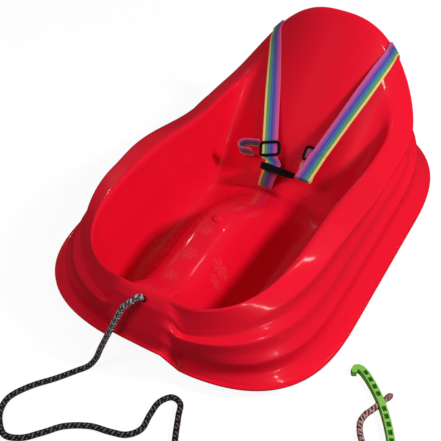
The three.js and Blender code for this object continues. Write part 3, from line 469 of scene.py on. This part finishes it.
def rounded(before, corner, after, reach):
    """Three points that turn a corner of a section with a small round."""
    start = corner.lerp(before, min(reach / (corner - before).length, 0.45))
    end = corner.lerp(after, min(reach / (corner - after).length, 0.45))
    return [start, corner * 0.5 + (start + end) * 0.25, end]


def hollow(low, high, depth):
    """The middle of a band between two ridges, pushed in to make the band concave."""
    rise = high - low
    out = Vector((-rise.x, -rise.y, 0)).normalized()
    flat = math.hypot(rise.x, rise.y)
    normal = (out * rise.z + Vector((0, 0, flat))).normalized()
    return low.lerp(high, 0.5) - normal * depth


@lru_cache(None)
def shell_section(along):
    """The points that one section of the shell is drawn through, outer and inner."""
    lip, foot, fold, shelf, crest, inner, floor = (ring_point(name, along) for name in rings)
    crown = crest.lerp(inner, 0.5) + Vector((0, 0, crown_height))
    beside_nose = ease(nose_half_width - 0.004, nose_half_width + nose_blend, shelf.x) if along < 1 else 1
    skirt = hollow(foot, fold, band_hollow["fold"] * beside_nose)
    lower_band = hollow(fold, shelf, band_hollow["shelf"] * beside_nose)
    upper_band = hollow(shelf, crest, band_hollow["crest"] * beside_nose)
    outer = [lip, *rounded(lip, foot, skirt, ridge_reach["foot"]), skirt,
             *rounded(skirt, fold, lower_band, ridge_reach["fold"]), lower_band,
             *rounded(lower_band, shelf, upper_band, ridge_reach["shelf"]), upper_band,
             *rounded(upper_band, crest, crown, ridge_reach["crest"]), crown]
    backness = ease(2.1, 2.6, along)
    walls = []
    for (inset, height), (back_inset, back_level) in zip(side_wall_shares, back_wall_shares):
        point = inner.lerp(floor, mix(inset, back_inset, backness))
        point.z = mix(floor.z, inner.z, mix(height, back_level, backness))
        walls.append(point)
    middle = crest_line(along)
    flats = [Vector((floor.x * (1 - share), mix(floor.y, middle, share), floor.z))
             for share in floor_inset_shares]
    return outer, [crown, inner, *walls, floor, *flats, Vector((0, middle, floor.z))]


def shell_point(side, along, row):
    """A point of the shell's top face, row counted from the lip in to the middle."""
    outer, inner = shell_section(along)
    split = round(shell_rows * outer_rows_share)
    if row <= split:
        point = between(outer, row / split * (len(outer) - 1))
    else:
        point = between(inner, (row - split) / (shell_rows - split) * (len(inner) - 1))
        point = raise_hump(point) if row > split + 4 else point
    return Vector((point.x * side, point.y, point.z))


def shell_place(column, row):
    turn = column / shell_columns * 2
    side, share = (1, turn) if turn <= 1 else (-1, 2 - turn)
    return shell_point(side, share * 3, row)


# Snowflakes are embossed in the leg wells and on the hump: six arms with side twigs,
# worked out from the angle and the distance to each flake's middle.
flakes = [(-0.0955, -0.1166, 0.017), (-0.004, -0.1375, 0.010), (-0.002, -0.182, 0.012),
          (-0.002, -0.228, 0.010), (0.037, -0.169, 0.010), (0.040, -0.188, 0.007)]
flake_line, flake_height = 0.06, 0.0011
snowflake, given, put_out = group(
    "snowflake", [("Vector", "NodeSocketVector", None), ("X", "NodeSocketFloat", 0.0),
                  ("Y", "NodeSocketFloat", 0.0), ("Radius", "NodeSocketFloat", 0.01)],
    [("Height", "NodeSocketFloat")])
apart = snowflake.nodes.new("ShaderNodeSeparateXYZ")
snowflake.links.new(given["Vector"], apart.inputs[0])
off_x = maths(snowflake, "SUBTRACT", apart.outputs[0], given["X"])
off_y = maths(snowflake, "SUBTRACT", apart.outputs[1], given["Y"])
flake_x = maths(snowflake, "DIVIDE", off_x, given["Radius"])
flake_y = maths(snowflake, "DIVIDE", off_y, given["Radius"])
flake_reach = maths(snowflake, "SQRT", maths(snowflake, "ADD", maths(snowflake, "MULTIPLY", flake_x, flake_x),
                                             maths(snowflake, "MULTIPLY", flake_y, flake_y)))
flake_turn = maths(snowflake, "PINGPONG", maths(snowflake, "ARCTAN2", flake_y, flake_x), math.pi / 6)
arm_along = maths(snowflake, "MULTIPLY", flake_reach, maths(snowflake, "COSINE", flake_turn))
arm_aside = maths(snowflake, "MULTIPLY", flake_reach, maths(snowflake, "SINE", flake_turn))
drawn = maths(snowflake, "LESS_THAN", arm_aside, flake_line)
for twig_start in (0.35, 0.62):
    off_twig = maths(snowflake, "ABSOLUTE", maths(snowflake, "SUBTRACT", maths(
        snowflake, "SUBTRACT", arm_along, twig_start), arm_aside))
    twig = maths(snowflake, "MULTIPLY", maths(snowflake, "LESS_THAN", off_twig, flake_line * 1.3),
                 maths(snowflake, "LESS_THAN", arm_aside, 0.28))
    drawn = maths(snowflake, "MAXIMUM", drawn, twig)
drawn = maths(snowflake, "MULTIPLY", drawn, maths(snowflake, "LESS_THAN", flake_reach, 1.0))
snowflake.links.new(drawn, put_out["Height"])

# The second, paler red is a painted highlight for the embossed snowflake lines.
tub_red, flake_highlight_red, flake_highlight_share = (0.78, 0.005, 0.024), (0.95, 0.10, 0.12), 0.22
red_plastic, tree, shader = node_tree(
    "red_plastic", tub_red, 0.34, Specular_IOR_Level=0.2, Coat_Weight=0.35, Coat_Roughness=0.07)
tub_place = tree.nodes.new("ShaderNodeTexCoord")
embossed = None
for middle_x, middle_y, flake_radius in flakes:
    flake = use_group(tree, snowflake, Vector=tub_place.outputs["Object"], X=middle_x, Y=middle_y,
                      Radius=flake_radius)["Height"]
    embossed = flake if embossed is None else maths(tree, "MAXIMUM", embossed, flake)
# Fine wavy creases where the plastic is drawn tight between the seat and the back.
crease_y, crease_z, crease_reach, crease_share = 0.062, 0.012, 0.035, 2.5
crease_from = tree.nodes.new("ShaderNodeVectorMath")
crease_from.operation = "SUBTRACT"
crease_from.inputs[1].default_value = (0, crease_y, crease_z)
tree.links.new(tub_place.outputs["Object"], crease_from.inputs[0])
crease_parts = tree.nodes.new("ShaderNodeSeparateXYZ")
tree.links.new(crease_from.outputs[0], crease_parts.inputs[0])
crease_squares = [maths(tree, "MULTIPLY", part, part) for part in crease_parts.outputs[1:]]
crease_off = maths(tree, "SQRT", maths(tree, "ADD", *crease_squares))
crease_near = maths(tree, "SUBTRACT", 1.0, maths(tree, "DIVIDE", crease_off, crease_reach), clamp=True)
ripple_place = tree.nodes.new("ShaderNodeMapping")
ripple_place.inputs["Scale"].default_value = (28, 110, 110)
tree.links.new(tub_place.outputs["Object"], ripple_place.inputs[0])
ripple = tree.nodes.new("ShaderNodeTexNoise")
ripple.inputs["Scale"].default_value = 1.0
ripple.inputs["Detail"].default_value = 1.5
ripple.inputs["Distortion"].default_value = 0.6
tree.links.new(ripple_place.outputs[0], ripple.inputs["Vector"])
creased = maths(tree, "MULTIPLY", maths(tree, "MULTIPLY", ripple.outputs[0], crease_near), 1.6)
# Painted highlight: the embossed snowflake lines are mixed towards a paler pinkish red, standing in for the
# glints they catch.
tub_red_with_flake_highlight = colour_mix(tree, maths(tree, "MULTIPLY", embossed, flake_highlight_share), tub_red, flake_highlight_red)
tree.links.new(tub_red_with_flake_highlight, shader.inputs["Base Color"])
bump(tree, shader, maths(tree, "ADD", embossed, maths(tree, "MULTIPLY", creased, crease_share)), flake_height)
tub_sheet = laid(shell_columns, shell_rows, shell_place)
bmesh.ops.recalc_face_normals(tub_sheet, faces=tub_sheet.faces)
hole_radius, hole_ring = 0.005, 0.0030
for vert in list(tub_sheet.verts):
    off = vert.co - rope_exit
    flat = off - rope_out * off.dot(rope_out)
    if off.length > 2.5 * hole_radius:
        continue
    if flat.length < hole_ring * 0.6:
        tub_sheet.verts.remove(vert)
    elif flat.length < 2 * hole_radius:
        share = (flat.length - hole_ring) / (2 * hole_radius - hole_ring)
        wanted = max(mix(hole_radius, 2 * hole_radius, share), hole_radius)
        vert.co += flat * (wanted / flat.length - 1)
button_place = Vector((0, button_y, hump_height * curve_at(hump_shares, button_y / (sled_length / 2))))
button_shape = Matrix.Diagonal((button_radius, button_radius, button_height, 1))
bmesh.ops.create_uvsphere(tub_sheet, u_segments=32, v_segments=16, radius=1,
                          matrix=Matrix.Translation(button_place) @ button_shape)
tub = finish_piece("tub_skin", tub_sheet, red_plastic, "sled")
thick = tub.modifiers.new("wall", "SOLIDIFY")
thick.thickness = wall
thick.offset = -1
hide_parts("sled_shell")

# The harness: rainbow-striped webbing, twenty-five millimetres wide. Two shoulder straps
# are riveted behind the back, come over the rim and hang down the inside; a third comes
# up between the legs. Yellow runs along the outer edge of each shoulder strap.
web_width, web_thickness = 0.025, 0.0015
strap_steps, strap_ribs = 240, 12
stripe_colours = [(0.86, 0.70, 0.20), (0.10, 0.33, 0.15), (0.05, 0.17, 0.44), (0.06, 0.07, 0.38),
                  (0.27, 0.07, 0.42), (0.52, 0.10, 0.38), (0.68, 0.10, 0.28)]
stripe_edges = [0.15, 0.35, 0.52, 0.64, 0.77, 0.89]
sled_across = Vector((1, 0, 0))

webbing, tree, shader = node_tree("rainbow_webbing", (0.4, 0.2, 0.5), 0.85, Sheen_Weight=0.3)
cloth_map = tree.nodes.new("ShaderNodeUVMap")
cloth_map.uv_map = "UVMap"
cloth_place = tree.nodes.new("ShaderNodeSeparateXYZ")
tree.links.new(cloth_map.outputs[0], cloth_place.inputs[0])
stripes = tree.nodes.new("ShaderNodeValToRGB")
stripes.color_ramp.interpolation = "LINEAR"
stripes.color_ramp.elements[0].color = (*stripe_colours[0], 1)
stripes.color_ramp.elements[1].color = (*stripe_colours[-1], 1)
for edge, low, high in zip(stripe_edges, stripe_colours, stripe_colours[1:]):
    for place, colour in ((edge - 0.02, low), (edge + 0.02, high)):
        stripes.color_ramp.elements.new(place).color = (*colour, 1)
tree.links.new(cloth_place.outputs[1], stripes.inputs[0])
weft_pitch, warp_threads = 0.0016, 22
weft_turn = maths(tree, "MULTIPLY", cloth_place.outputs[0], math.pi / weft_pitch)
warp_turn = maths(tree, "MULTIPLY", cloth_place.outputs[1], math.pi * warp_threads)
weft = maths(tree, "ABSOLUTE", maths(tree, "SINE", weft_turn))
warp = maths(tree, "ABSOLUTE", maths(tree, "SINE", warp_turn))
weave = maths(tree, "ADD", maths(tree, "MULTIPLY", weft, 0.75), maths(tree, "MULTIPLY", warp, 0.25))
# Painted shade: the stripes darken towards near black between the threads, where the weave is low.
thread_gap_shade = maths(tree, "MULTIPLY", maths(tree, "SUBTRACT", 1.0, weave), 0.35)
shaded = colour_mix(tree, thread_gap_shade, stripes.outputs[0], (0.02, 0.01, 0.03))
tree.links.new(shaded, shader.inputs["Base Color"])
bump(tree, shader, weave, 0.0004)


def ribbon(name, stops, body, node, yellow=1, width=web_width, thickness=web_thickness):
    """A webbing band through (middle, way across) stops; yellow is the side it is on."""
    middles = [Vector(middle) for middle, _ in stops]
    ways = [Vector(way).normalized() for _, way in stops]
    reach = sum((b - a).length for a, b in zip(middles, middles[1:]))

    def place(column, row):
        at = column / strap_steps * (len(stops) - 1)
        first = min(int(at), len(stops) - 2)
        across = ways[first].lerp(ways[first + 1], at - first).normalized()
        share = row / strap_ribs - 0.5
        return between(middles, at) + across * yellow * share * width

    sheet = laid(strap_steps, strap_ribs, place, (reach, 1))
    band = finish_piece(name, sheet, webbing, body)
    depth = band.modifiers.new("thickness", "SOLIDIFY")
    depth.thickness = thickness
    depth.offset = 0
    edge = band.modifiers.new("selvedge", "BEVEL")
    edge.width, edge.segments = thickness * 0.4, 2
    edge.limit_method, edge.angle_limit = "ANGLE", math.radians(50)
    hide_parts(node)
    return band


outer_places = 16


def rear_place(side, x, index):
    """The shell's face behind, at a place among the outer points, where |x| is given."""
    row = index / outer_places * round(shell_rows * outer_rows_share)
    low, high = 2.0, 3.0
    for _ in range(24):
        middle = (low + high) / 2
        if shell_point(1, middle, row).x > x:
            low = middle
        else:
            high = middle
    point = shell_point(side, low, row)
    around = (shell_point(side, min(low + 0.02, 3), row) - shell_point(side, low - 0.02, row)).normalized()
    inwards = (shell_point(side, low, row + 1) - shell_point(side, low, row - 1)).normalized()
    normal = around.cross(inwards).normalized() * side
    return point, around * (1 if around.x > 0 else -1), normal


def over_rim(side, rim_x, crown_x, loose):
    """A strap's way from its rivet up behind the rim and over it."""
    stops = []
    places = [11.0, 11.6, 12.2, 13.0, 13.5, 14.0, 14.5, 15.0, 15.5, 16.0]
    for i, index in enumerate(places):
        share = max(i - 3, 0) / (len(places) - 4)
        point, around, normal = rear_place(side, mix(rim_x, crown_x, share), index)
        stops.append((point + normal * mix(loose, 0.0016, share), around))
    return stops


def run(start, end, steps):
    """A straight run between two stops that turns evenly, both ends left out."""
    return [(start[0].lerp(end[0], i / steps), start[1].lerp(end[1], min(1.6 * i / steps, 1)))
            for i in range(1, steps)]


left_adjuster_place = Vector((-0.0296, 0.1025, 0.0693))
left_slide_up = Vector((-0.37935, 0.73901, 0.55674))
buckle_join = Vector((-0.0162, 0.0838, 0.0488))
buckle_front = Vector((0.2, -0.75, 0.63)).normalized()
buckle_along = (sled_across - buckle_front * buckle_front.x).normalized()
buckle_up = buckle_along.cross(-buckle_front)
lap_offset, strap_in_slot, adjuster_length = 0.00105, 0.009, 0.025


def on_buckle(x, y, z):
    return buckle_join + buckle_along * x - buckle_front * y + buckle_up * z


left_across = (sled_across - left_slide_up * left_slide_up.x).normalized()
left_rim = over_rim(-1, 0.108, 0.104, 0.0022)
left_top = (left_adjuster_place + left_slide_up * adjuster_length * 0.7, left_across)
left_stops = [*left_rim, *run(left_rim[-1], left_top, 6), left_top, (left_adjuster_place, left_across),
              (left_adjuster_place - left_slide_up * adjuster_length * 0.55, left_across),
              (on_buckle(0, lap_offset, strap_in_slot), buckle_along),
              (on_buckle(0, lap_offset, -strap_in_slot), buckle_along)]
ribbon("left_shoulder_webbing", left_stops, "sled", "left_shoulder_strap", 1)

right_run_place = Vector((0.0545, 0.104, 0.092))
right_adjuster_place = Vector((0.045, 0.105, 0.085))
right_end = Vector((0.0468, 0.067, 0.066))
fold_radius = 0.003
right_slide_up = Vector((-0.0428, 0.82155, 0.56852))
fold_down = (right_end - right_run_place).normalized()
fold_out = sled_across.cross(fold_down).normalized()
right_rim = over_rim(1, 0.095, 0.091, 0.0022)
right_low = (right_end.copy(), sled_across)
right_stops = [*right_rim, *run(right_rim[-1], (right_run_place, sled_across), 6),
               (right_run_place, sled_across), (right_run_place.lerp(right_end, 0.5), sled_across), right_low]
for share in (0.25, 0.5, 0.75, 1):
    turn = share * math.pi
    right_stops.append((right_end + fold_down * fold_radius * math.sin(turn)
                        + fold_out * fold_radius * (1 - math.cos(turn)), sled_across))
right_stops.append((right_adjuster_place - right_slide_up * adjuster_length * 0.58, sled_across))
right_stops.append((right_adjuster_place + right_slide_up * adjuster_length * 0.5, sled_across))
ribbon("right_shoulder_webbing", right_stops, "sled", "right_shoulder_strap", -1)

# The right strap's end is sewn back on itself: a flap on top of the last forty millimetres.
flap_length, flap_lift = 0.046, 0.0019
flap_face = sled_across.cross(fold_down).normalized() * -1
flap_stops = [(right_end - fold_down * flap_length * share + flap_face * flap_lift * (1.4 - 0.6 * share),
               sled_across + fold_out * 0.02) for share in (1, 0.92, 0.7, 0.45, 0.2, 0, -0.03)]
ribbon("right_strap_flap", flap_stops, "sled", "right_shoulder_strap", -1, web_width * 1.03)

crease_slot = Vector((-0.021, 0.076, 0.0176))
crotch_stops = [(on_buckle(0, -lap_offset, strap_in_slot - 0.002), buckle_along),
                (on_buckle(0, -lap_offset, -strap_in_slot), buckle_along), (crease_slot, sled_across),
                (crease_slot + Vector((0, -0.001, -0.006)), sled_across)]
ribbon("crotch_webbing", crotch_stops, "sled", "crotch_strap", 1)

tail_across = Vector((0, -0.42, 0.907))
tail_face = left_across.cross(left_slide_up)
tail_edge = web_width / 2 + 0.0029
tail_way = [(-0.3, 9, 5), (-10, 10, 6), (-20, 11, 7), (-29, 10, 7), (-34, 7, 5.5),
            (-34.5, 2, 3), (-30, -1, 1), (-22, -2, 0), (-14, -4, -1)]
tail_stops = [(left_adjuster_place + left_across * (x / 1000 - tail_edge) + left_slide_up * y / 1000
               + tail_face * z / 1000, tail_across) for x, y, z in tail_way]
ribbon("left_tail_webbing", tail_stops, "left_adjuster", "left_strap_tail", 1, web_width * 0.92)

socket_right, plug_length, buckle_middle, seat_gap = 0.0305, 0.009, -0.009, 0.0003
plug_strap_start = socket_right + plug_length + 2 * seat_gap
plug_strap_from = on_buckle(plug_strap_start, buckle_middle, 0)
plug_strap_next = on_buckle(plug_strap_start + web_thickness, buckle_middle, 0)
plug_strap_end = Vector((0.045, 0.1045, 0.075))
plug_stops = [(plug_strap_from, -buckle_front)]
for i in range(9):
    plug_way = (-buckle_front).lerp(-sled_across, ease(0, 1, i / 8))
    plug_stops.append((plug_strap_next.lerp(plug_strap_end, i / 8), plug_way))
ribbon("plug_webbing", plug_stops, "plug", "right_buckle_strap", -1)

# The adjusters: black moulded frames with rounded bars, the strap running through them
# over the middle bar, so that each slides up and down its strap.
black_plastic, tree, shader = node_tree("black_plastic", (0.006, 0.005, 0.005), 0.35, Specular_IOR_Level=0.3)
rail_width, bar_depth = 0.0040, 0.0034
bar_radius, bar_drop = bar_depth * 0.4, 0.0022
ring_steps, ring_sides = 96, 14


def ring_way(half_width, half_length, share):
    """A point of a rounded rectangle at a share of the way round it."""
    turn = share * math.tau
    power = 6
    radius = (abs(math.cos(turn)) ** power + abs(math.sin(turn)) ** power) ** (-1 / power)
    return half_width * math.cos(turn) * radius, half_length * math.sin(turn) * radius


def adjuster(name, place, slide_up, node):
    across = (sled_across - slide_up * slide_up.x).normalized()
    face = across.cross(slide_up)
    half_width = web_width / 2 + seat_gap + rail_width * 0.6
    half_length = (adjuster_length - bar_depth) / 2

    def ring_place(column, row):
        share = column / ring_steps
        x, y = ring_way(half_width, half_length, share)
        ahead_x, ahead_y = ring_way(half_width, half_length, share + 0.002)
        ahead = Vector((ahead_x - x, ahead_y - y)).normalized()
        turn = row / ring_sides * math.tau
        out, lift = math.cos(turn) * rail_width * 0.6, math.sin(turn) * rail_width * 0.7
        raised = 0.0021 * ease(0.55, 0.9, abs(y) / half_length)
        return place + across * (x + ahead.y * out) + slide_up * (y - ahead.x * out) + face * (lift + raised)

    sheet = laid(ring_steps, ring_sides, ring_place)
    bar_turn = Matrix((face, slide_up, across)).transposed().to_4x4()
    bmesh.ops.create_cone(sheet, cap_ends=True, segments=ring_sides, radius1=bar_radius, radius2=bar_radius,
                          depth=2 * half_width, matrix=Matrix.Translation(place - face * bar_drop) @ bar_turn)
    bmesh.ops.recalc_face_normals(sheet, faces=sheet.faces)
    frame_piece = finish_piece(name, sheet, black_plastic, node)
    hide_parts(node)


adjuster("left_adjuster_frame", left_adjuster_place, left_slide_up, "left_adjuster")
adjuster("right_adjuster_frame", right_adjuster_place, right_slide_up, "right_adjuster")

# The buckle: a side-release buckle in black plastic, seen edge on: its socket hangs on
# the left strap, its plug on the short strap below the right adjuster. The plug's two
# arms are pieces of their own, because they bend when the buckle is opened.
def dress(node, material, bevel):
    """Gives a CAD piece its material and softens its edges."""
    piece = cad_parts[node]
    piece.data.materials.clear()
    piece.data.materials.append(material)
    weld = piece.modifiers.new("weld", "WELD")
    weld.merge_threshold = 0.00002
    if bevel:
        round_off = piece.modifiers.new("rounding", "BEVEL")
        round_off.width, round_off.segments = bevel, 3
        round_off.limit_method, round_off.angle_limit = "ANGLE", math.radians(35)
        round_off.harden_normals = True


for buckle_node in ("buckle_socket", "buckle_plug"):
    dress(buckle_node, black_plastic, 0.0009)
for arm_node in ("front_release_arm", "rear_release_arm"):
    dress(arm_node, black_plastic, 0.0005)

# The rivets and washers that hold the straps: plain steel, one pair behind the back for
# each shoulder strap and one behind the crease for the strap between the legs.
steel, tree, shader = node_tree("rivet_steel", (0.55, 0.55, 0.57), 0.32, Metallic=1.0)
for strap_node in ("left_strap", "right_strap", "crotch_strap"):
    dress(f"{strap_node}_rivet", steel, 0.0002)
    dress(f"{strap_node}_washer", steel, 0.0001)

# The handle: one light-green moulded bar with a hook at each end and a row of pockets,
# with painted shade inside them. The rope runs through its middle to the end knot.
light_green, pocket_shade_green = (0.20, 0.50, 0.07), (0.008, 0.10, 0.002)
green_plastic, tree, shader = node_tree("green_plastic", light_green, 0.35)
handle_top = 0.0102
local = tree.nodes.new("ShaderNodeTexCoord")
height_of = tree.nodes.new("ShaderNodeSeparateXYZ")
tree.links.new(local.outputs["Object"], height_of.inputs[0])
facing = tree.nodes.new("ShaderNodeNewGeometry")
upward = tree.nodes.new("ShaderNodeSeparateXYZ")
tree.links.new(facing.outputs["True Normal"], upward.inputs[0])
# Painted shade: the upward-facing pocket floors below the top face take the dark green.
pocket_shade_mask = maths(tree, "MULTIPLY", maths(tree, "LESS_THAN", height_of.outputs[2], handle_top - 0.0009),
                  maths(tree, "GREATER_THAN", upward.outputs[2], 0.8))
tree.links.new(colour_mix(tree, pocket_shade_mask, light_green, pocket_shade_green), shader.inputs["Base Color"])
dress("pull_handle", green_plastic, 0.0008)

# The room: a white floor and surround that the glossy plastic sees only dimly, a soft key
# lamp from the right that throws the right-hand wall's shadow into the tub, a weaker front
# lamp, and four small lamps for the thin highlights on the ridges, the rim and the hump.
floor_material, tree, shader = node_tree("white_floor", (0.8, 0.8, 0.8), 0.9)
floor_mesh = bmesh.new()
bmesh.ops.create_grid(floor_mesh, x_segments=1, y_segments=1, size=6)
floor_data = bpy.data.meshes.new("floor")
floor_mesh.to_mesh(floor_data)
floor_mesh.free()
floor_data.materials.append(floor_material)
floor = bpy.data.objects.new("floor", floor_data)
bpy.context.scene.collection.objects.link(floor)
seen = tree.nodes.new("ShaderNodeLightPath")
glow = tree.nodes.new("ShaderNodeEmission")
glow.inputs["Color"].default_value = (1, 1, 1, 1)
both = tree.nodes.new("ShaderNodeAddShader")
to_mirror = colour_mix(tree, seen.outputs["Is Glossy Ray"], (0.12, 0.12, 0.12), (0.03, 0.03, 0.03))
floor_shade = colour_mix(tree, seen.outputs["Is Camera Ray"], to_mirror, (0.12, 0.12, 0.12))
tree.links.new(floor_shade, shader.inputs["Base Color"])
tree.links.new(maths(tree, "MULTIPLY", seen.outputs["Is Camera Ray"], 0.91), glow.inputs["Strength"])
tree.links.new(shader.outputs[0], both.inputs[0])
tree.links.new(glow.outputs[0], both.inputs[1])
tree.links.new(both.outputs[0], tree.nodes["Material Output"].inputs["Surface"])

world = bpy.data.worlds.new("studio")
bpy.context.scene.world = world
world.use_nodes = True
surround = world.node_tree
path = surround.nodes.new("ShaderNodeLightPath")
surround.nodes["Background"].inputs["Color"].default_value = (1, 1, 1, 1)
world_light, mirrored_world = 0.16, 0.06
dim_mirror = maths(surround, "MULTIPLY", path.outputs["Is Glossy Ray"], world_light - mirrored_world)
white_behind = maths(surround, "MULTIPLY", path.outputs["Is Camera Ray"], 1 - world_light)
world_level = maths(surround, "SUBTRACT", maths(surround, "ADD", white_behind, world_light), dim_mirror)
surround.links.new(world_level, surround.nodes["Background"].inputs["Strength"])


def lamp(name, place, towards, size, power, mirrored=True):
    """A soft rectangular lamp that shines towards a point."""
    data = bpy.data.lights.new(name, "AREA")
    data.shape = "RECTANGLE"
    data.size, data.size_y = size
    data.energy = power
    one = bpy.data.objects.new(name, data)
    turn = (Vector(place) - Vector(towards)).to_track_quat("Z", "Y").to_matrix().to_4x4()
    one.matrix_world = Matrix.Translation(place) @ turn
    one.visible_glossy = mirrored
    bpy.context.scene.collection.objects.link(one)


lamp("key_lamp", (1.50, 0.25, 1.45), (0, -0.05, 0.05), (0.30, 0.30), 32, mirrored=False)
lamp("front_lamp", (-0.7, -1.3, 1.7), (0, 0.15, 0.1), (0.7, 0.7), 14, mirrored=False)
lamp("rim_glint", (1.22, -0.65, 1.42), (0, -0.05, 0.05), (0.05, 0.20), 1.5)
lamp("ridge_glint", (1.80, -0.95, 0.60), (0, -0.05, 0.05), (0.30, 0.10), 3)
lamp("hump_glint", (0.42, 0.83, 1.70), (0, -0.1, 0.1), (0.05, 0.16), 1.0)
lamp("left_glint", (-1.62, 0.79, 1.15), (0, 0.1, 0.1), (0.05, 0.16), 0.8)
bpy.context.scene.view_settings.view_transform = "Standard"
